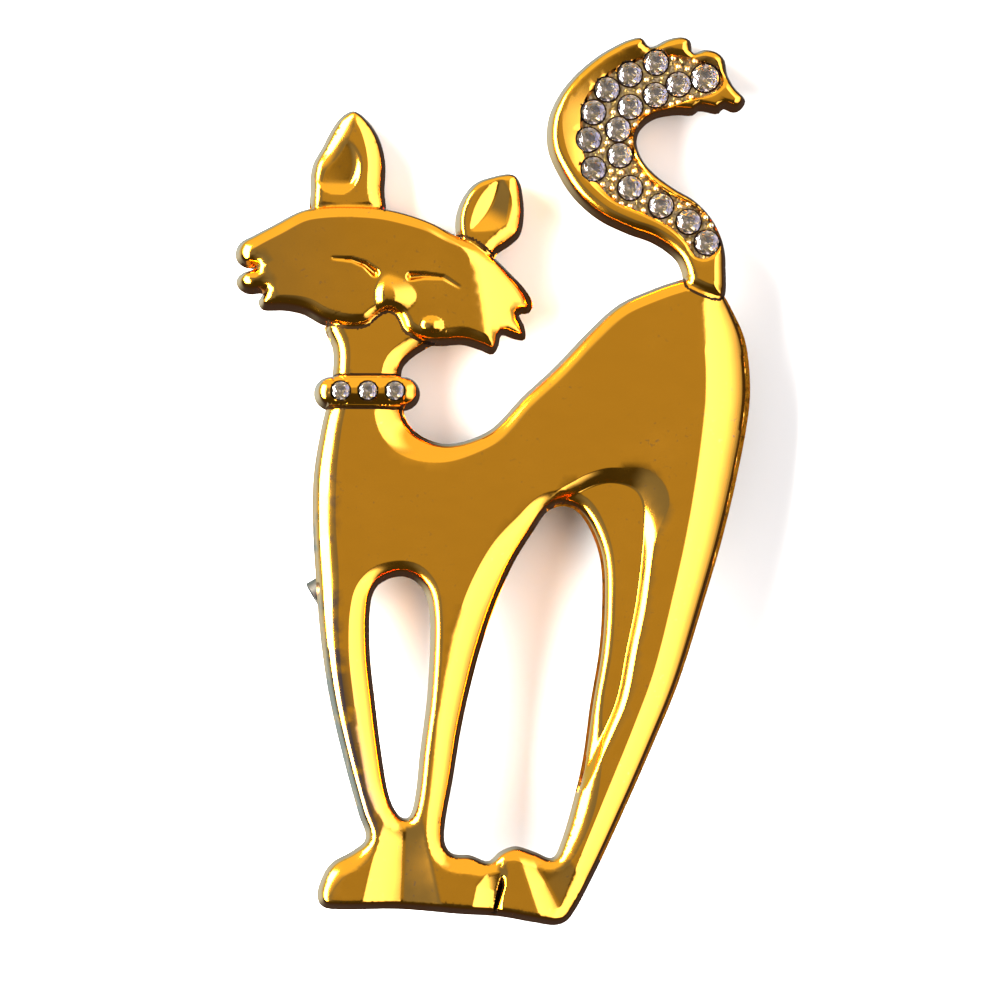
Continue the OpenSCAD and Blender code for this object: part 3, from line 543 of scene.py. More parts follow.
@dataclass
class RestPose:
    """Lays the flat drawing down as the brooch rests: on its pin's two ends and its left ear."""

    pin_x: float = 1.2
    pin_y: float = 27.45
    pin_angle: float = 31.0
    tilt: float = -5.265643
    shift: tuple[float, float, float] = (-14.888424, -9.712218, 3.042615)

    def matrix(self) -> Matrix:
        """Gives the matrix from the drawing's millimetres to the frame's metres."""
        a = math.radians(self.pin_angle)
        turn = Matrix.Rotation(math.radians(self.tilt), 4, Vector((math.cos(a), math.sin(a), 0)))
        start = Matrix.Translation(Vector((-self.pin_x, -self.pin_y, 0)))
        return Matrix.Scale(MM, 4) @ Matrix.Translation(Vector(self.shift)) @ turn @ start

    def turn(self) -> Matrix:
        """Gives the turn alone."""
        return self.matrix().to_3x3().normalized()

    def flat(self, point: Vector) -> Vector:
        """Gives a frame point's place in the flat drawing, in millimetres."""
        return self.matrix().inverted() @ point


@dataclass
class Casting:
    """The cast body of the brooch, from its outlines to one closed mesh."""

    trunk_size: tuple[float, float] = (37.5, 50.0)
    head_size: tuple[float, float] = (25.0, 12.5)
    left_ear_size: tuple[float, float] = (6.25, 8.75)
    right_ear_size: tuple[float, float] = (5.8, 7.5)
    tail_size: tuple[float, float] = (17.5, 22.5)
    trunk_top: float = 2.6
    head_top: float = 3.6
    ear_top: float = 2.8
    tail_top: float = 2.8
    collar_top: float = 3.3
    bed: float = 2.05
    far_leg: float = 1.95
    collar_size: tuple[float, float] = (8.85, 2.85)
    pitch: float = 0.3
    grid: float = 0.6

    def corners(self) -> dict[str, tuple[float, float]]:
        """Gives each box's lower left corner."""
        w, h = self.trunk_size
        head = (-0.144 * w, 0.95 * h)
        return {
            "trunk": (0.0, 0.0),
            "head": head,
            "left_ear": (head[0] + 0.25 * self.head_size[0], head[1] + 0.933 * self.head_size[1]),
            "right_ear": (head[0] + 0.73 * self.head_size[0], head[1] + 0.62 * self.head_size[1]),
            "tail": (0.533 * w, 1.033 * h),
            "collar": (0.149 * w, 0.885 * h),
        }

    def collar_loop(self) -> np.ndarray:
        """Gives the outline of the collar band, with round ends."""
        x, y = self.corners()["collar"]
        r = self.collar_size[1] / 2
        half = self.collar_size[0] / 2 - r
        found = []
        for side, start in ((1, -90), (-1, 90)):
            for a in np.radians(np.linspace(start, start + 180, 13)):
                found.append((x + side * half + r * math.cos(a), y + r * math.sin(a), 0.85))
        return smooth_loop(tuple(found), (0, 0), (1, 1), self.pitch)

    def plates(self) -> dict[str, Plate]:
        """Makes every raised form of the casting."""
        at = self.corners()
        trunk = [smooth_loop(rows, at["trunk"], self.trunk_size, self.pitch)
                 for rows in (CHEST + SOLE + RUMP + BACK, FRONT_GAP, BELLY_GAP)]
        return {
            "left_ear": Plate([smooth_loop(LEFT_EAR, at["left_ear"], self.left_ear_size, self.pitch)],
                              self.ear_top),
            "right_ear": Plate([smooth_loop(RIGHT_EAR, at["right_ear"], self.right_ear_size, self.pitch)],
                               self.ear_top),
            "trunk": Plate(trunk, self.trunk_top),
            "head": Plate([smooth_loop(FACE, at["head"], self.head_size, self.pitch)], self.head_top,
                          0.5, 0.8),
            "tail": Plate([smooth_loop(TAIL, at["tail"], self.tail_size, self.pitch)], self.tail_top,
                          0.6, 1.0),
            "collar": Plate([self.collar_loop()], self.collar_top, 0.5, 0.25, slope=0.3),
        }

    def heights(self, points: np.ndarray, plates: dict[str, Plate], stones: list[Stone]) -> np.ndarray:
        """Gives the casting's height at points.

        Args:
            points: x and y of each point.
            plates: the raised forms.
            stones: the stones, whose seats are cut.

        Returns:
            The height of each point, which is 0 on the outer edge.
        """
        faces = {
            "left_ear": self.ear_top - self.left_scoop(points),
            "right_ear": self.ear_top - self.right_scoop(points),
            "trunk": self.far_hollow().cut(points, self.trunk_top) - self.paw_lines(points),
            "head": self.face_relief(points),
            "tail": self.bed_hollow().cut(points, self.tail_top),
            "collar": np.full(len(points), self.collar_top),
        }
        z = np.full(len(points), -1.0)
        for name, plate in plates.items():
            z = plate.lay(points, z, faces[name])
        for stone in stones:
            z = stone.seat(points, z)
        return np.maximum(z, 0.0)

    def far_hollow(self) -> Hollow:
        """Gives the lower face of the far hind leg."""
        return Hollow(smooth_loop(FAR_LEG, (0, 0), self.trunk_size, self.pitch), self.far_leg, 0.6)

    def bed_hollow(self) -> Hollow:
        """Gives the bed of the tail's stones."""
        return Hollow(smooth_loop(BED, self.corners()["tail"], self.tail_size, self.pitch), self.bed, 0.9,
                      0.68)

    def left_scoop(self, points: np.ndarray) -> np.ndarray:
        """Gives the depth of the left ear's hollow, which rises ever steeper to its right rim."""
        at = self.corners()["left_ear"]
        x = (points[:, 0] - at[0] - 2.2) / 1.95
        y = (points[:, 1] - at[1] - 3.9) / 2.35
        half = np.sqrt(np.clip(1 - y**2, 1e-6, 1))
        across = np.clip((x / half + 1) / 2, 0, 1)
        crest, low = 0.8, -0.55
        fall = 0.45 + 0.55 * across / crest
        rise = 1 - (np.clip(across - crest, 0, 1) / (1 - crest)) ** 2
        down = np.where(y > low, (1 - y) / (1 - low), 1 - ((low - y) / (1 + low)) ** 2)
        return np.where(x**2 + y**2 < 1, 0.42 * down * np.where(across < crest, fall, rise), 0)

    def right_scoop(self, points: np.ndarray) -> np.ndarray:
        """Gives the depth of the right ear's hollow, shaped like a leaf."""
        upper, lower = placed(RIGHT_SCOOP, self.corners()["right_ear"], self.right_ear_size)[:, :2]
        middle, half = (upper + lower) / 2, np.linalg.norm(upper - lower) / 2
        run = (lower - upper) / (2 * half)
        off = points - middle
        bulge = np.clip(1 - ((off @ run) / half) ** 2, 0, 1)
        aside = run[0] * off[:, 1] - run[1] * off[:, 0] - 0.55 * bulge
        width = np.where(aside > 0, 2.2, 1.15) * np.maximum(bulge, 1e-6)
        return 0.36 * bulge * np.clip(1 - np.abs(aside) / width, 0, 1)

    def paw_lines(self, points: np.ndarray) -> np.ndarray:
        """Gives the depth of the valleys and the slit between the paws."""
        cut = np.zeros(len(points))
        near = points[:, 1] < 0.22 * self.trunk_size[1]
        local = points[near]
        for rows in (BETWEEN_LEGS, BETWEEN_PAWS, OVER_HEEL):
            cut[near] = np.maximum(cut[near], valley(local, placed(rows, (0, 0), self.trunk_size)))
        cut[near] = np.maximum(cut[near], line_depth(local, placed(PAW_SLIT, (0, 0), self.trunk_size)))
        fade = np.clip((0.2 * self.trunk_size[1] - points[:, 1]) / (0.06 * self.trunk_size[1]), 0, 1)
        return cut * fade

    def face_relief(self, points: np.ndarray) -> np.ndarray:
        """Gives the curved face with its closed eyes, muzzle and lip."""
        at, size = self.corners()["head"], self.head_size
        z = self.head_top - 0.0034 * (points[:, 0] - at[0] - 0.5 * size[0]) ** 2
        z = z - 0.03 * np.clip(at[1] + size[1] - points[:, 1], 0, size[1])
        z = np.maximum(z, 0.8 * self.head_top)
        gap, _, beyond = nearest_on(points, placed(CHEEK, at, size))
        z = z - np.where(beyond & (points[:, 0] > at[0] + 0.5 * size[0]), 0.2 * gap + 0.03 * gap**2, 0)
        # The muzzle: a short steep left side and a long right one
        x = points[:, 0] - at[0] - 0.5 * size[0]
        y = (points[:, 1] - at[1] - 0.37 * size[1]) / 2.1
        sides = np.clip((x + 0.96 - 0.8 * y**2) / 0.7, 0, 1) * np.clip((2.56 - 2.4 * y**2 - x) / 1.9, 0, 1)
        z = z + 0.33 * sides * np.clip(1 - y**2, 0, 1) ** 1.5
        z = z + 0.3 * dome(points, (at[0] + 0.652 * size[0], at[1] + 0.18 * size[1]), (0.95, 0.7))
        near = (points[:, 1] > at[1]) & (points[:, 1] < at[1] + size[1]) & (points[:, 0] < at[0] + size[0])
        for rows in (LEFT_EYE, RIGHT_EYE):
            z[near] = z[near] - line_depth(points[near], placed(rows, at, size))
        return z

    def samples(self, plates: dict[str, Plate], stones: list[Stone]) -> tuple[np.ndarray, list]:
        """Chooses the points of the mesh.

        Args:
            plates: the raised forms.
            stones: the stones.

        Returns:
            The points, edge points first, and the edges that follow the outlines.
        """
        at = self.corners()
        edges, rims = [], []
        for plate in plates.values():
            for loop in plate.loops:
                start = sum(len(rim) for rim in rims)
                count = len(loop)
                edges += [(start + i, start + (i + 1) % count) for i in range(count)]
                rims.append(loop[:, :2])
        kept = [tuple(p) for p in np.vstack(rims)]
        fixed = len(kept)
        cell = 0.5
        bins: dict[tuple[int, int], list[int]] = {}
        for index, p in enumerate(kept):
            bins.setdefault((int(p[0] // cell), int(p[1] // cell)), []).append(index)

        def add(points: np.ndarray, apart: float) -> None:
            """Keeps the points that lie far enough from those kept before."""
            for x, y in points:
                i, j = int(x // cell), int(y // cell)
                cells = ((i + di, j + dj) for di in (-1, 0, 1) for dj in (-1, 0, 1))
                near = (kept[other] for place in cells for other in bins.get(place, ()))
                if all((q[0] - x) ** 2 + (q[1] - y) ** 2 >= apart * apart for q in near):
                    bins.setdefault((i, j), []).append(len(kept))
                    kept.append((x, y))

        for stone in stones:
            add(stone.rings(), 0.035)
        for hollow in (self.far_hollow(), self.bed_hollow()):
            add(hollow.rings(), 0.05)
        for plate in plates.values():
            for ring in plate.rings():
                add(ring, 0.04)
        for name in ("head", "tail", "collar"):
            loop = plates[name].loops[0]
            for depth in (0.07, 0.2, 0.36):
                add(loop[:, :2] - leftward(loop) * depth, 0.06)
        head, size = at["head"], self.head_size
        add(self.patch((head[0] + 0.30 * size[0], head[1] + 0.10 * size[1]),
                       (head[0] + 0.78 * size[0], head[1] + 0.68 * size[1]), 0.13), 0.09)
        for name, dims in (("left_ear", self.left_ear_size), ("right_ear", self.right_ear_size)):
            ear = self.patch(at[name], (at[name][0] + dims[0], at[name][1] + dims[1]), 0.2)
            add(plates[name].off_wall(ear), 0.12)
        add(plates["trunk"].off_wall(self.patch((15.7, 0.3), (17.7, 4.4), 0.09)), 0.06)
        add(plates["trunk"].off_wall(self.patch((3.5, 0.3), (23.5, 9.8), 0.2)), 0.12)
        low, high = np.array(kept).min(0), np.array(kept).max(0)
        add(self.patch(tuple(low), tuple(high), self.grid), 0.6 * self.grid)
        LOG.info("casting: %d edge points, %d points in all", fixed, len(kept))
        return np.array(kept), edges

    @staticmethod
    def patch(low: tuple[float, float], high: tuple[float, float], pitch: float) -> np.ndarray:
        """Gives staggered rows of points over a rectangle."""
        found = []
        for j, y in enumerate(np.arange(low[1], high[1], pitch * 0.866)):
            x = np.arange(low[0] + (j % 2) * pitch / 2, high[0], pitch)
            found.append(np.stack([x, np.full(len(x), y)], 1))
        return np.vstack(found)

    def build(self, stones: list[Stone], pose: RestPose) -> bpy.types.Object:
        """Makes the casting's closed mesh at rest.

        Args:
            stones: the stones, whose seats are cut.
            pose: how the brooch lies.

        Returns:
            The new object.
        """
        plates = self.plates()
        points, edges = self.samples(plates, stones)
        verts, _, faces, _, _, _ = delaunay_2d_cdt([Vector(p) for p in points], edges, [], 0, 1e-6, False)
        flat = np.array([tuple(v) for v in verts])
        tris = np.array([tuple(f) for f in faces if len(f) == 3])
        middle = flat[tris].mean(1)
        tris = tris[np.any([plate.holds(middle) for plate in plates.values()], axis=0)]
        a, b, c = flat[tris[:, 0]], flat[tris[:, 1]], flat[tris[:, 2]]
        area = (b[:, 0] - a[:, 0]) * (c[:, 1] - a[:, 1]) - (b[:, 1] - a[:, 1]) * (c[:, 0] - a[:, 0])
        tris[area < 0] = tris[area < 0][:, ::-1]
        directed = {(int(t[i]), int(t[(i + 1) % 3])) for t in tris for i in range(3)}
        rim = [(i, j) for i, j in directed if (j, i) not in directed]
        z = self.heights(flat, plates, stones)
        z[[i for pair in rim for i in pair]] = 0.0
        under = self.underside(flat, rim, plates)
        used = np.unique(np.concatenate([tris.ravel(), np.array(under).ravel()]))
        number = np.full(len(flat), -1)
        number[used] = np.arange(len(used))
        matrix = pose.matrix()
        places = [matrix @ Vector((flat[i, 0], flat[i, 1], z[i])) for i in used]
        polygons = [tuple(int(number[i]) for i in t) for t in tris] + [tuple(int(number[i]) for i in t)
                                                                       for t in under]
        mesh = bpy.data.meshes.new("cast_body")
        mesh.from_pydata(places, [], polygons)
        mesh.validate()
        body = bpy.data.objects.new("cast_body", mesh)
        bpy.context.scene.collection.objects.link(body)
        LOG.info("casting: %d triangles, %d of them underneath", len(polygons), len(under))
        return body

    def underside(self, flat: np.ndarray, rim: list, plates: dict[str, Plate]) -> list:
        """Closes the flat back.

        Args:
            flat: x and y of all points.
            rim: the edges round the mesh.
            plates: the raised forms.

        Returns:
            Triangles that face down.
        """
        ids = sorted({i for pair in rim for i in pair})
        place = {i: k for k, i in enumerate(ids)}
        verts, _, faces, back, _, _ = delaunay_2d_cdt(
            [Vector(flat[i]) for i in ids], [(place[i], place[j]) for i, j in rim], [], 0, 1e-7, True)
        xy = np.array([tuple(v) for v in verts])
        tris = np.array([tuple(f) for f in faces if len(f) == 3])
        middle = xy[tris].mean(1)
        solid = np.any([plate.holds(middle) for plate in plates.values()], axis=0)
        found = []
        for t in tris[solid]:
            i, j, k = (ids[back[v][0]] for v in t)
            turn = ((flat[j, 0] - flat[i, 0]) * (flat[k, 1] - flat[i, 1])
                    - (flat[j, 1] - flat[i, 1]) * (flat[k, 0] - flat[i, 0]))
            found.append((i, k, j) if turn > 0 else (i, j, k))
        return found


def linear(code: str) -> tuple[float, float, float, float]:
    """Turns an sRGB hex colour to linear.

    Args:
        code: such as "#fab130".

    Returns:
        Red, green, blue and alpha.
    """
    parts = [int(code[i:i + 2], 16) / 255 for i in (1, 3, 5)]
    return tuple(c / 12.92 if c <= 0.04045 else ((c + 0.055) / 1.055) ** 2.4 for c in parts) + (1.0,)


def add_node(tree: bpy.types.NodeTree, kind: str, settings: dict | None = None,
             links: dict | None = None) -> bpy.types.Node:
    """Adds a node with its settings and links.

    Args:
        tree: where to add it.
        kind: the node's type.
        settings: values for its inputs, by name or number, or for its own properties.
        links: for each input, the output that feeds it.

    Returns:
        The new node.
    """
    node = tree.nodes.new(kind)
    for key, value in (settings or {}).items():
        if isinstance(key, str) and hasattr(node, key):
            setattr(node, key, value)
        else:
            node.inputs[key].default_value = value
    for key, output in (links or {}).items():
        tree.links.new(output, node.inputs[key])
    return node


def ramp(tree: bpy.types.NodeTree, factor: bpy.types.NodeSocket,
         stops: tuple[tuple[float, float], ...]) -> bpy.types.NodeSocket:
    """Adds a grey ramp.

    Args:
        tree: where to add it.
        factor: what drives it.
        stops: places and values.

    Returns:
        The ramp's colour output.
    """
    node = add_node(tree, "ShaderNodeValToRGB", {}, {"Fac": factor})
    marks = node.color_ramp.elements
    while len(marks) < len(stops):
        marks.new(0.5)
    for mark, (place, value) in zip(marks, stops):
        mark.position = place
        mark.color = (value, value, value, 1)
    return node.outputs["Color"]


@dataclass(frozen=True)
class GoldPlate:
    """Bright gold plate over a polished zinc casting: tumbled and buffed, so it mirrors softly."""

    name: str = "gold_plate"
    colour: str = "#fbab2c"
    dull: str = "#b98a4a"
    # Partly tarnish, partly painted grey shade on the left-facing edges
    tarnish_and_shade: str = "#6f5e42"
    roughness: float = 0.1

    def build(self) -> bpy.types.Material:
        """Makes the material."""
        material = bpy.data.materials.new(self.name)
        material.use_nodes = True
        tree = material.node_tree
        shader = tree.nodes["Principled BSDF"]
        shader.inputs["Metallic"].default_value = 1.0
        place = add_node(tree, "ShaderNodeTexCoord").outputs["Object"]
        # Handling and age leave cloudy patches some 6 mm across
        cloud = add_node(tree, "ShaderNodeTexNoise", {"Scale": 160.0, "Detail": 4.0}, {"Vector": place})
        worn = ramp(tree, cloud.outputs["Fac"], ((0.45, 0.0), (0.8, 1.0)))
        # Tarnish specks about 0.4 mm across
        speck = add_node(tree, "ShaderNodeTexNoise", {"Scale": 2300.0, "Detail": 2.0}, {"Vector": place})
        spots = ramp(tree, speck.outputs["Fac"], ((0.66, 0.0), (0.72, 1.0)))
        both = add_node(tree, "ShaderNodeMath", {"operation": "MULTIPLY"}, {0: worn, 1: spots})
        colour = add_node(tree, "ShaderNodeMix", {"data_type": "RGBA"}, {"Factor": both.outputs[0]})
        colour.inputs[6].default_value = linear(self.colour)
        colour.inputs[7].default_value = linear(self.dull)
        # Spots along the chest's left edge and the front leg: partly tarnish, partly painted grey shade
        aged_and_shaded = add_node(tree, "ShaderNodeMix", {"data_type": "RGBA"}, {"Factor": self.dark_edge(tree, place)})
        tree.links.new(colour.outputs[2], aged_and_shaded.inputs[6])
        aged_and_shaded.inputs[7].default_value = linear(self.tarnish_and_shade)
        tree.links.new(aged_and_shaded.outputs[2], shader.inputs["Base Color"])
        ends = {"To Min": self.roughness, "To Max": self.roughness + 0.1}
        rough = add_node(tree, "ShaderNodeMapRange", ends, {"Value": worn})
        tree.links.new(rough.outputs[0], shader.inputs["Roughness"])
        # The buffed skin waves by microns over 2 mm
        wave = add_node(tree, "ShaderNodeTexNoise", {"Scale": 420.0, "Detail": 1.0}, {"Vector": place})
        bump = add_node(tree, "ShaderNodeBump", {"Strength": 0.12, "Distance": 0.0001},
                        {"Height": wave.outputs["Fac"]})
        tree.links.new(bump.outputs[0], shader.inputs["Normal"])
        return material

    @staticmethod
    def dark_edge(tree: bpy.types.NodeTree, place: bpy.types.NodeSocket) -> bpy.types.NodeSocket:
        """Masks the chest's left edge and the front leg, where spots 1.6 mm across are dark: partly tarnish,
        partly painted grey shade.

        Args:
            tree: where to add the mask.
            place: the point on the casting.

        Returns:
            How dark it is there, from 0 to 1.
        """
        parts = add_node(tree, "ShaderNodeSeparateXYZ", {}, {0: place}).outputs
        # How far a point lies in from that edge, which is a parabola
        down = add_node(tree, "ShaderNodeMath", {"operation": "ADD", 1: 0.0042}, {0: parts["Y"]})
        square = add_node(tree, "ShaderNodeMath", {"operation": "POWER", 1: 2.0}, {0: down.outputs[0]})
        bend = add_node(tree, "ShaderNodeMath", {"operation": "MULTIPLY", 1: 6.5}, {0: square.outputs[0]})
        far = add_node(tree, "ShaderNodeMath", {"operation": "SUBTRACT"}, {0: parts["X"], 1: bend.outputs[0]})
        left = add_node(tree, "ShaderNodeMapRange", {"From Min": -0.0127, "From Max": -0.0138},
                        {"Value": far.outputs[0]}).outputs[0]
        low = add_node(tree, "ShaderNodeMapRange", {"From Min": 0.002, "From Max": 0.0},
                       {"Value": parts["Y"]}).outputs[0]
        leg = add_node(tree, "ShaderNodeMapRange", {"From Min": -0.011, "From Max": -0.017, "To Max": 0.2},
                       {"Value": parts["Y"]}).outputs[0]
        patch = add_node(tree, "ShaderNodeTexNoise", {"Scale": 620.0, "Detail": 3.0}, {"Vector": place})
        level = add_node(tree, "ShaderNodeMath", {"operation": "ADD"}, {0: patch.outputs["Fac"], 1: leg})
        dark = ramp(tree, level.outputs[0], ((0.50, 0.0), (0.68, 0.85)))
        paw = add_node(tree, "ShaderNodeMapRange", {"From Min": -0.0305, "From Max": -0.0275},
                       {"Value": parts["Y"]}).outputs[0]
        low = add_node(tree, "ShaderNodeMath", {"operation": "MULTIPLY"}, {0: low, 1: paw}).outputs[0]
        edge = add_node(tree, "ShaderNodeMath", {"operation": "MULTIPLY"}, {0: left, 1: low})
        edge = add_node(tree, "ShaderNodeMath", {"operation": "MULTIPLY"}, {0: edge.outputs[0], 1: dark})
        return edge.outputs[0]


@dataclass(frozen=True)
class SettingBed:
    """The sunk bed round the stones: cast, unbuffed and thinly plated, so it is darker and duller."""

    name: str = "setting_bed"
    colour: str = "#7d6535"
    roughness: float = 0.3

    def build(self) -> bpy.types.Material:
        """Makes the material."""
        material = bpy.data.materials.new(self.name)
        material.use_nodes = True
        tree = material.node_tree
        shader = tree.nodes["Principled BSDF"]
        shader.inputs["Metallic"].default_value = 1.0
        shader.inputs["Base Color"].default_value = linear(self.colour)
        shader.inputs["Roughness"].default_value = self.roughness
        place = add_node(tree, "ShaderNodeTexCoord").outputs["Object"]
        # Cast grain of 0.5 mm
        grain = add_node(tree, "ShaderNodeTexNoise", {"Scale": 2000.0, "Detail": 2.0}, {"Vector": place})
        bump = add_node(tree, "ShaderNodeBump", {"Strength": 0.8, "Distance": 0.0004},
                        {"Height": grain.outputs["Fac"]})
        tree.links.new(bump.outputs[0], shader.inputs["Normal"])
        return material


@dataclass(frozen=True)
class GrainedMetal:
    """A bare metal whose fine grain makes its roughness vary from place to place."""

    name: str
    colour: str
    roughness: float
    spread: float
    grain: float

    def build(self) -> bpy.types.Material:
        """Makes the material."""
        material = bpy.data.materials.new(self.name)
        material.use_nodes = True
        tree = material.node_tree
        shader = tree.nodes["Principled BSDF"]
        shader.inputs["Metallic"].default_value = 1.0
        shader.inputs["Base Color"].default_value = linear(self.colour)
        place = add_node(tree, "ShaderNodeTexCoord").outputs["Object"]
        marks = add_node(tree, "ShaderNodeTexNoise", {"Scale": self.grain, "Detail": 2.0}, {"Vector": place})
        ends = {"To Min": self.roughness, "To Max": self.roughness + self.spread}
        rough = add_node(tree, "ShaderNodeMapRange", ends, {"Value": marks.outputs["Fac"]})
        tree.links.new(rough.outputs[0], shader.inputs["Roughness"])
        return material


@dataclass(frozen=True)
class PaintedShadeCorner(GrainedMetal):
    """Seats, slits and inner corners: raw casting with a grain of 0.2 mm, dark with painted shade, and with
    some dirt in the seats.
    """

    name: str = "painted_shade_corner"
    # Painted shade: dark brown, with some real dirt in the stones' seats
    colour: str = "#33210e"
    roughness: float = 0.45
    spread: float = 0.2
    grain: float = 5000.0


@dataclass(frozen=True)
class BeadPaintedHighlight(GrainedMetal):
    """The beads by the stones, with a punch's marks 0.15 mm across, and a pale colour that is a painted
    highlight.
    """

    name: str = "bead_painted_highlight"
    # Paler than the plate: a painted highlight
    colour: str = "#f0cd86"
    roughness: float = 0.18
    spread: float = 0.2
    grain: float = 7000.0


@dataclass(frozen=True)
class PinSteelAndShade(GrainedMetal):
    """Nickel plated spring steel with drawing marks some 0.2 mm apart, greyer than the casting and darker
    still with painted shade, as the pin lies on the shaded side.
    """

    name: str = "pin_metal"
    # Darker than bare nickel: partly painted shade, as the pin lies on the shaded side
    colour: str = "#7c766a"
    roughness: float = 0.28
    spread: float = 0.15
    grain: float = 5000.0


class Skin(Enum):
    """The finishes of the casting and its painted shade, in the order of its materials."""

    PLATE = 0
    BED = 1
    # Painted shade in the seats, the slit and the inner corners
    CORNER = 2


class Face(Enum):
    """The two finishes of a foil backed stone."""

    CROWN = 0
    FOIL = 1


@dataclass(frozen=True)
class Crystal:
    """Cut lead glass: clear, with a high index that gives bright and dark facets."""

    name: str = "crystal"
    colour: str = "#efebe0"
    ior: float = 1.62

    def build(self) -> bpy.types.Material:
        """Makes the material."""
        material = bpy.data.materials.new(self.name)
        material.use_nodes = True
        shader = material.node_tree.nodes["Principled BSDF"]
        shader.inputs["Base Color"].default_value = linear(self.colour)
        shader.inputs["Transmission Weight"].default_value = 1.0
        shader.inputs["IOR"].default_value = self.ior
        shader.inputs["Roughness"].default_value = 0.02
        return material


@dataclass(frozen=True)
class Foil:
    """Silver foil behind a stone: a thin mirror under the pavilion."""

    name: str = "stone_foil"
    colour: str = "#d8cbae"

    def build(self) -> bpy.types.Material:
        """Makes the material."""
        material = bpy.data.materials.new(self.name)
        material.use_nodes = True
        shader = material.node_tree.nodes["Principled BSDF"]
        shader.inputs["Base Color"].default_value = linear(self.colour)
        shader.inputs["Metallic"].default_value = 1.0
        shader.inputs["Roughness"].default_value = 0.14
        return material


@dataclass
class Stones:
    """The round stones of the tail and the collar, which are the frame's own solids, dressed."""

    nodes: dict
    pose: RestPose
    tail_girdle: float = 2.21
    collar_girdle: float = 3.15

    def names(self) -> list[str]:
        """Lists the stones' nodes."""
        return sorted(n for n in self.nodes if "stone" in n)

    def places(self) -> list[Stone]:
        """Finds each stone's place in the flat drawing."""
        found = []
        for name in self.names():
            points = np.array([self.pose.flat(v.co) for v in self.nodes[name].data.vertices])
            low, high = points.min(0), points.max(0)
            girdle = self.collar_girdle if name.startswith("collar") else self.tail_girdle
            found.append(Stone((low[0] + high[0]) / 2, (low[1] + high[1]) / 2, high[0] - low[0], girdle))
        return found

    def dress(self, crown: bpy.types.Material, foil: bpy.types.Material) -> None:
        """Gives each stone a clear crown and a foiled pavilion.

        Args:
            crown: the clear finish.
            foil: the mirror finish.
        """
        up = (self.pose.matrix().to_3x3() @ Vector((0, 0, 1))).normalized()
        for name in self.names():
            mesh = self.nodes[name].data
            mesh.materials.clear()
            mesh.materials.append(crown)
            mesh.materials.append(foil)
            for polygon in mesh.polygons:
                polygon.use_smooth = False
                face = Face.FOIL if polygon.normal.dot(up) < -0.2 else Face.CROWN
                polygon.material_index = face.value
            LOG.info("%s: crown and foil", name)


@dataclass
class SettingBeads:
    """Small round beads of metal beside the stones, raised from the bed to hold them."""

    pose: RestPose
    bed: float = 2.05
    radius: float = 0.28

    def middles(self, stones: list[Stone], loop: np.ndarray) -> list[tuple[float, float]]:
        """Finds where beads stand: close round each stone, where there is room.

        Args:
            stones: all stones of the tail.
            loop: the outline of the bed.

        Returns:
            Places in the flat drawing.
        """
        found: list[tuple[float, float]] = []
        for off in (0.36, 0.5):
            for stone in stones:
                for step in range(24):
                    a = math.radians(15 * step)
                    x = stone.x + (stone.d / 2 + off) * math.cos(a)
                    y = stone.y + (stone.d / 2 + off) * math.sin(a)
                    clear = all(math.hypot(x - s.x, y - s.y) > s.d / 2 + self.radius + 0.1 for s in stones)
                    apart = all(math.hypot(x - p[0], y - p[1]) > 0.62 for p in found)
                    if clear and apart and inside(np.array([[x, y]]), loop)[0]:
                        found.append((x, y))
        return found

    def build(self, stones: list[Stone], loop: np.ndarray, finish: bpy.types.Material) -> bpy.types.Object:
        """Models one bead and copies it to every place.

        Args:
            stones: all stones of the tail.
            loop: the outline of the bed.
            finish: what the beads are made of, in a pale colour that is a painted highlight.

        Returns:
            All beads as one piece.
        """
        bpy.ops.object.select_all(action="DESELECT")
        bpy.ops.mesh.primitive_uv_sphere_add(segments=12, ring_count=8, radius=self.radius * MM)
        bead = bpy.context.object
        bpy.ops.object.mode_set(mode="EDIT")
        bpy.ops.transform.resize(value=(1, 1, 1.15))
        bpy.ops.object.mode_set(mode="OBJECT")
        bpy.ops.object.shade_smooth()
        copies = []
        for x, y in self.middles(stones, loop):
            copy = bead.copy()
            copy.data = bead.data.copy()
            bpy.context.scene.collection.objects.link(copy)
            copy.data.transform(Matrix.Translation(self.pose.matrix() @ Vector((x, y, self.bed + 0.08))))
            copies.append(copy)
        bpy.data.objects.remove(bead)
        bpy.ops.object.select_all(action="DESELECT")
        for copy in copies:
            copy.select_set(True)
        bpy.context.view_layer.objects.active = copies[0]
        bpy.ops.object.join()
        joined = bpy.context.object
        joined.name = "setting_beads"
        joined.data.name = "setting_beads"
        joined.data.materials.append(finish)
        LOG.info("setting beads: %d", len(copies))
        return joined


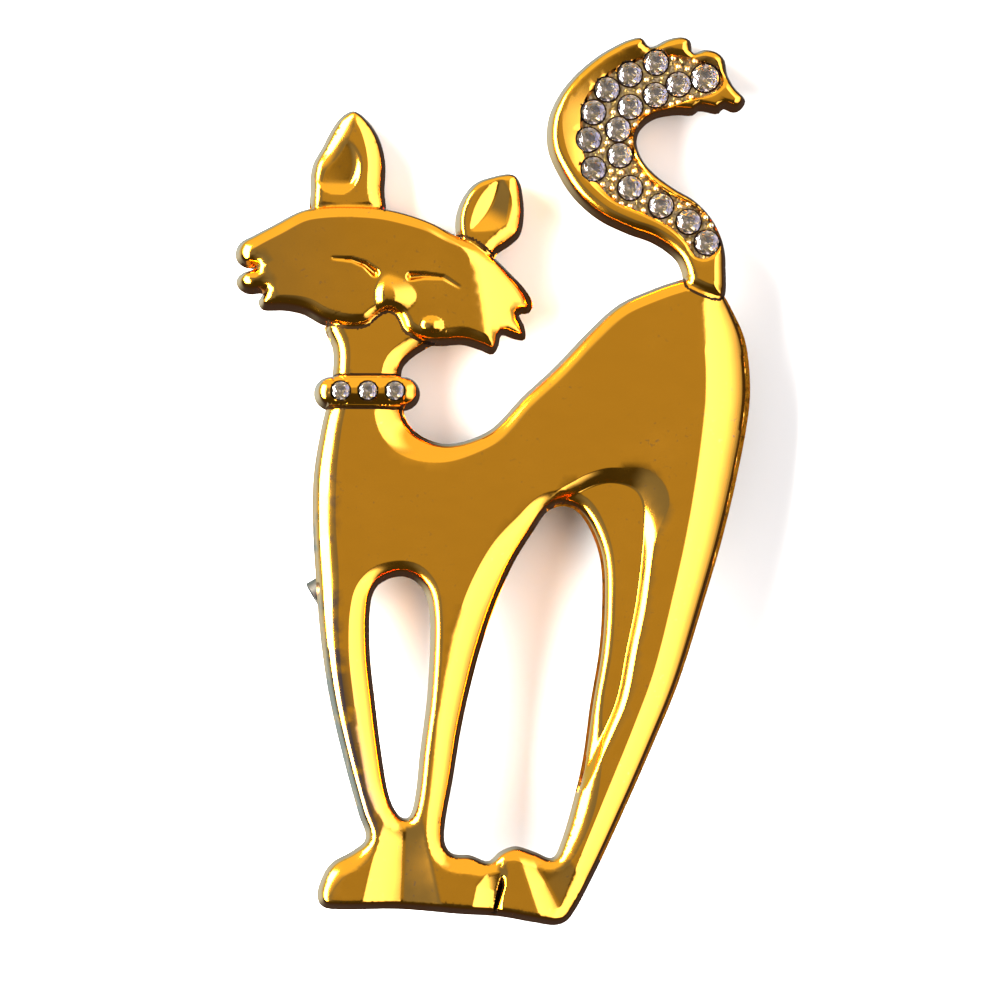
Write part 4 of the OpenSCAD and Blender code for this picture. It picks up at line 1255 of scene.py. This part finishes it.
@dataclass
class Studio:
    """A pale floor, soft panels of light and the photo's camera."""

    middle: tuple[float, float, float] = (16.67, 35.42, 0.0)
    from_below: float = 4.5
    from_left: float = 2.0
    distance: float = 1.0
    view_width: float = 0.0832
    panel_off: float = 58.0
    panel_bearing: float = 180.0
    panel_size: tuple[float, float] = (0.9, 0.32)
    panel_radiance: float = 38.0
    panel_far: float = 0.6
    cool_light: tuple[float, float, float, float] = (0.27, 0.29, 0.42, 1)
    cool_mirrored: tuple[float, float, float, float] = (0.22, 0.29, 1.0, 1)
    window_light: tuple[float, float, float, float] = (3.3, 3.3, 3.5, 1)
    window_mirrored: tuple[float, float, float, float] = (3.3, 3.8, 8.5, 1)
    low_left: tuple[float, float, float, float] = (0.60, 0.80, 0.85, 1)
    low_right: tuple[float, float, float, float] = (0.06, 0.05, 0.05, 1)
    lowest: tuple[float, float, float, float] = (0.05, 0.04, 0.04, 1)
    backdrop: tuple[float, float, float, float] = (0.95, 0.95, 0.95, 1)

    def floor(self) -> bpy.types.Object:
        """Makes the pale floor."""
        bpy.ops.object.select_all(action="DESELECT")
        bpy.ops.mesh.primitive_plane_add(size=4, location=(0, 0, 0))
        floor = bpy.context.object
        floor.name = "floor"
        material = bpy.data.materials.new("pale_floor")
        material.use_nodes = True
        shader = material.node_tree.nodes["Principled BSDF"]
        shader.inputs["Base Color"].default_value = linear("#f4f2ec")
        shader.inputs["Roughness"].default_value = 0.9
        floor.data.materials.append(material)
        floor.visible_glossy = False
        return floor

    def panel(self, pose: RestPose) -> None:
        """Hangs the soft panel of light on the brooch's left, turned to face it.

        Its angle off is counted from straight over the face, and its bearing from the brooch's right
        towards its ears. Its radiance is how bright it looks.

        Args:
            pose: how the brooch lies.
        """
        off, bearing = math.radians(self.panel_off), math.radians(self.panel_bearing)
        way = Vector((math.sin(off) * math.cos(bearing), math.sin(off) * math.sin(bearing), math.cos(off)))
        place = pose.turn() @ way
        data = bpy.data.lights.new("left_panel", "AREA")
        data.shape = "RECTANGLE"
        data.size, data.size_y = self.panel_size
        data.energy = self.panel_radiance * math.pi * self.panel_size[0] * self.panel_size[1]
        light = bpy.data.objects.new("left_panel", data)
        light.location = place * self.panel_far
        light.rotation_mode = "QUATERNION"
        light.rotation_quaternion = place.to_track_quat("Z", "Y")
        bpy.context.scene.collection.objects.link(light)

    def lights(self, pose: RestPose) -> None:
        """Hangs the left panel and makes the room's soft light.

        Args:
            pose: how the brooch lies, because the room's light is stated from its face.
        """
        self.panel(pose)
        world = bpy.data.worlds.new("room")
        world.use_nodes = True
        bpy.context.scene.world = world
        tree = world.node_tree
        way = add_node(tree, "ShaderNodeTexCoord").outputs["Generated"]
        angle = math.radians(pose.pin_angle)
        turned = add_node(tree, "ShaderNodeVectorRotate", {"rotation_type": "AXIS_ANGLE"}, {"Vector": way})
        turned.inputs["Axis"].default_value = (math.cos(angle), math.sin(angle), 0)
        turned.inputs["Angle"].default_value = -math.radians(pose.tilt)
        parts = add_node(tree, "ShaderNodeSeparateXYZ", {}, {0: turned.outputs[0]}).outputs

        def share(axis: str, low: float, high: float) -> bpy.types.NodeSocket:
            """Gives how far a direction leans along an axis, from 0 to 1."""
            return add_node(tree, "ShaderNodeMapRange", {"From Min": low, "From Max": high},
                            {"Value": parts[axis]}).outputs[0]

        def times(first: bpy.types.NodeSocket, second: bpy.types.NodeSocket) -> bpy.types.NodeSocket:
            """Multiplies two shares."""
            node = add_node(tree, "ShaderNodeMath", {"operation": "MULTIPLY"}, {0: first, 1: second})
            return node.outputs[0]

        def blend(factor: bpy.types.NodeSocket, low: object, high: object) -> bpy.types.NodeSocket:
            """Mixes two colours, each a value or an output."""
            node = add_node(tree, "ShaderNodeMix", {"data_type": "RGBA"}, {"Factor": factor})
            for slot, colour in ((6, low), (7, high)):
                if isinstance(colour, tuple):
                    node.inputs[slot].default_value = colour
                else:
                    tree.links.new(colour, node.inputs[slot])
            return node.outputs[2]

        above = ramp(tree, share("Y", -1, 1), ROOM_ABOVE)
        # The plate mirrors a bluer room than the one that lights the floor, so that its bands are
        # pale and its shaded parts grey
        path = add_node(tree, "ShaderNodeLightPath").outputs
        mirrored = path["Is Glossy Ray"]
        # A cooler, dimmer field lies between the zenith and the left panel
        middle = times(share("Y", -0.70, -0.35), share("Y", 0.50, 0.2))
        cool = blend(mirrored, self.cool_light, self.cool_mirrored)
        above = blend(times(share("X", 0.0, -0.25), middle), above, cool)
        # The right hand window: crisp towards the zenith, dimmer towards the floor
        window = ramp(tree, share("X", 0, 1), WINDOW_ACROSS)
        glass = blend(mirrored, self.window_light, self.window_mirrored)
        window = blend(window, (0, 0, 0, 1), glass)
        reach = times(times(share("Y", -0.75, -0.45), share("Y", 0.72, 0.45)), share("X", 0.20, 0.32))
        above = blend(reach, above, window)
        below = blend(share("X", -0.25, 0.2), self.low_left, self.low_right)
        below = blend(share("Y", -0.05, -0.3), below, self.lowest)
        room = blend(share("Z", -0.05, 0.05), below, above)
        room = blend(path["Is Camera Ray"], room, self.backdrop)
        tree.links.new(room, tree.nodes["Background"].inputs["Color"])
        bpy.context.scene.view_settings.view_transform = "Standard"

    def camera(self, pose: RestPose) -> None:
        """Puts the camera at the photo's angle to the brooch.

        Args:
            pose: how the brooch lies.
        """
        matrix = pose.matrix()
        turn = pose.turn()
        left, below = math.radians(self.from_left), math.radians(self.from_below)
        back = (turn @ Vector((-math.sin(left), -math.sin(below), math.cos(below)))).normalized()
        up = turn @ Vector((0, 1, 0))
        up = (up - back * up.dot(back)).normalized()
        right = up.cross(back)
        target = matrix @ Vector(self.middle)
        data = bpy.data.cameras.new("camera")
        data.sensor_width = 36.0
        data.lens = 36.0 * self.distance / self.view_width
        data.clip_start, data.clip_end = 0.01, 10
        camera = bpy.data.objects.new("camera", data)
        spin = Matrix((right, up, back)).transposed()
        camera.matrix_world = Matrix.Translation(target + back * self.distance) @ spin.to_4x4()
        bpy.context.scene.collection.objects.link(camera)
        bpy.context.scene.camera = camera


@dataclass
class PinBack:
    """The pin across the back, which is the frame's own solid, dressed."""

    node: bpy.types.Object

    def dress(self, finish: bpy.types.Material) -> None:
        """Gives the pin its finish."""
        self.node.data.materials.clear()
        self.node.data.materials.append(finish)
        LOG.info("pin_back: plated steel")


def paint_skins_and_shade(body: bpy.types.Object, casting: Casting, pose: RestPose, stones: list[Stone]) -> None:
    """Gives the bed of the tail its own finish, and paints shade into the stones' seats, the slit between the
    paws and the inner corners, with some dirt in the seats.

    Args:
        body: the casting.
        casting: its outlines.
        pose: how the brooch lies.
        stones: the stones.
    """
    loop = smooth_loop(BED, casting.corners()["tail"], casting.tail_size, casting.pitch)
    mesh = body.data
    centres = np.array([pose.flat(p.center) for p in mesh.polygons])
    skin = np.where(inside(centres[:, :2], loop), Skin.BED.value, Skin.PLATE.value)
    for stone in stones:
        # The stones' seats get painted shade, with some dirt in them
        apart = np.hypot(centres[:, 0] - stone.x, centres[:, 1] - stone.y)
        skin[apart < stone.d / 2 + stone.gap + 0.03] = Skin.CORNER.value
    # Painted shade down the slit between the paws
    slit = placed(PAW_SLIT, (0, 0), casting.trunk_size)
    skin[line_depth(centres[:, :2], slit) > 0.3] = Skin.CORNER.value
    plates = casting.plates()
    # Painted shade in the inner corners where one form sits on another
    for upper, lower in (("head", "trunk"), ("collar", "trunk"), ("tail", "trunk"), ("head", "right_ear")):
        edge = plates[upper].loops[0]
        near = np.flatnonzero(inside(centres[:, :2], plates[lower].loops[0]))
        for start in range(0, len(near), 4000):
            part = near[start:start + 4000]
            gap, _ = to_segments(centres[part, :2], edge, np.roll(edge, -1, 0))
            reach = np.where(inside(centres[part, :2], edge), 0.165, 0.066)
            skin[part[gap.min(1) < reach]] = Skin.CORNER.value
    skin[centres[:, 2] < 0.5] = Skin.PLATE.value
    mesh.polygons.foreach_set("material_index", skin.astype(int))


def main() -> None:
    """Builds every part of the scene in order."""
    logging.basicConfig(level=logging.INFO)
    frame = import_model()
    pose = RestPose()
    stones = Stones(frame["nodes"], pose)
    places = stones.places()
    casting = Casting()
    body = casting.build(places, pose)
    body.data.materials.append(GoldPlate().build())
    body.data.materials.append(SettingBed().build())
    body.data.materials.append(PaintedShadeCorner().build())
    paint_skins_and_shade(body, casting, pose, places)
    bpy.ops.object.select_all(action="DESELECT")
    body.select_set(True)
    bpy.context.view_layer.objects.active = body
    bpy.ops.object.shade_smooth_by_angle(angle=math.radians(SMOOTH_BELOW))
    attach(body, "root")
    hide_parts("casting")
    stones.dress(Crystal().build(), Foil().build())
    beads = SettingBeads(pose).build([s for s in places if s.d > 1.8], casting.bed_hollow().loop,
                                     BeadPaintedHighlight().build())
    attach(beads, "root")
    PinBack(frame["nodes"]["pin_back"]).dress(PinSteelAndShade().build())
    studio = Studio()
    studio.floor()
    studio.lights(pose)
    studio.camera(pose)


if __name__ == "__main__":
    main()
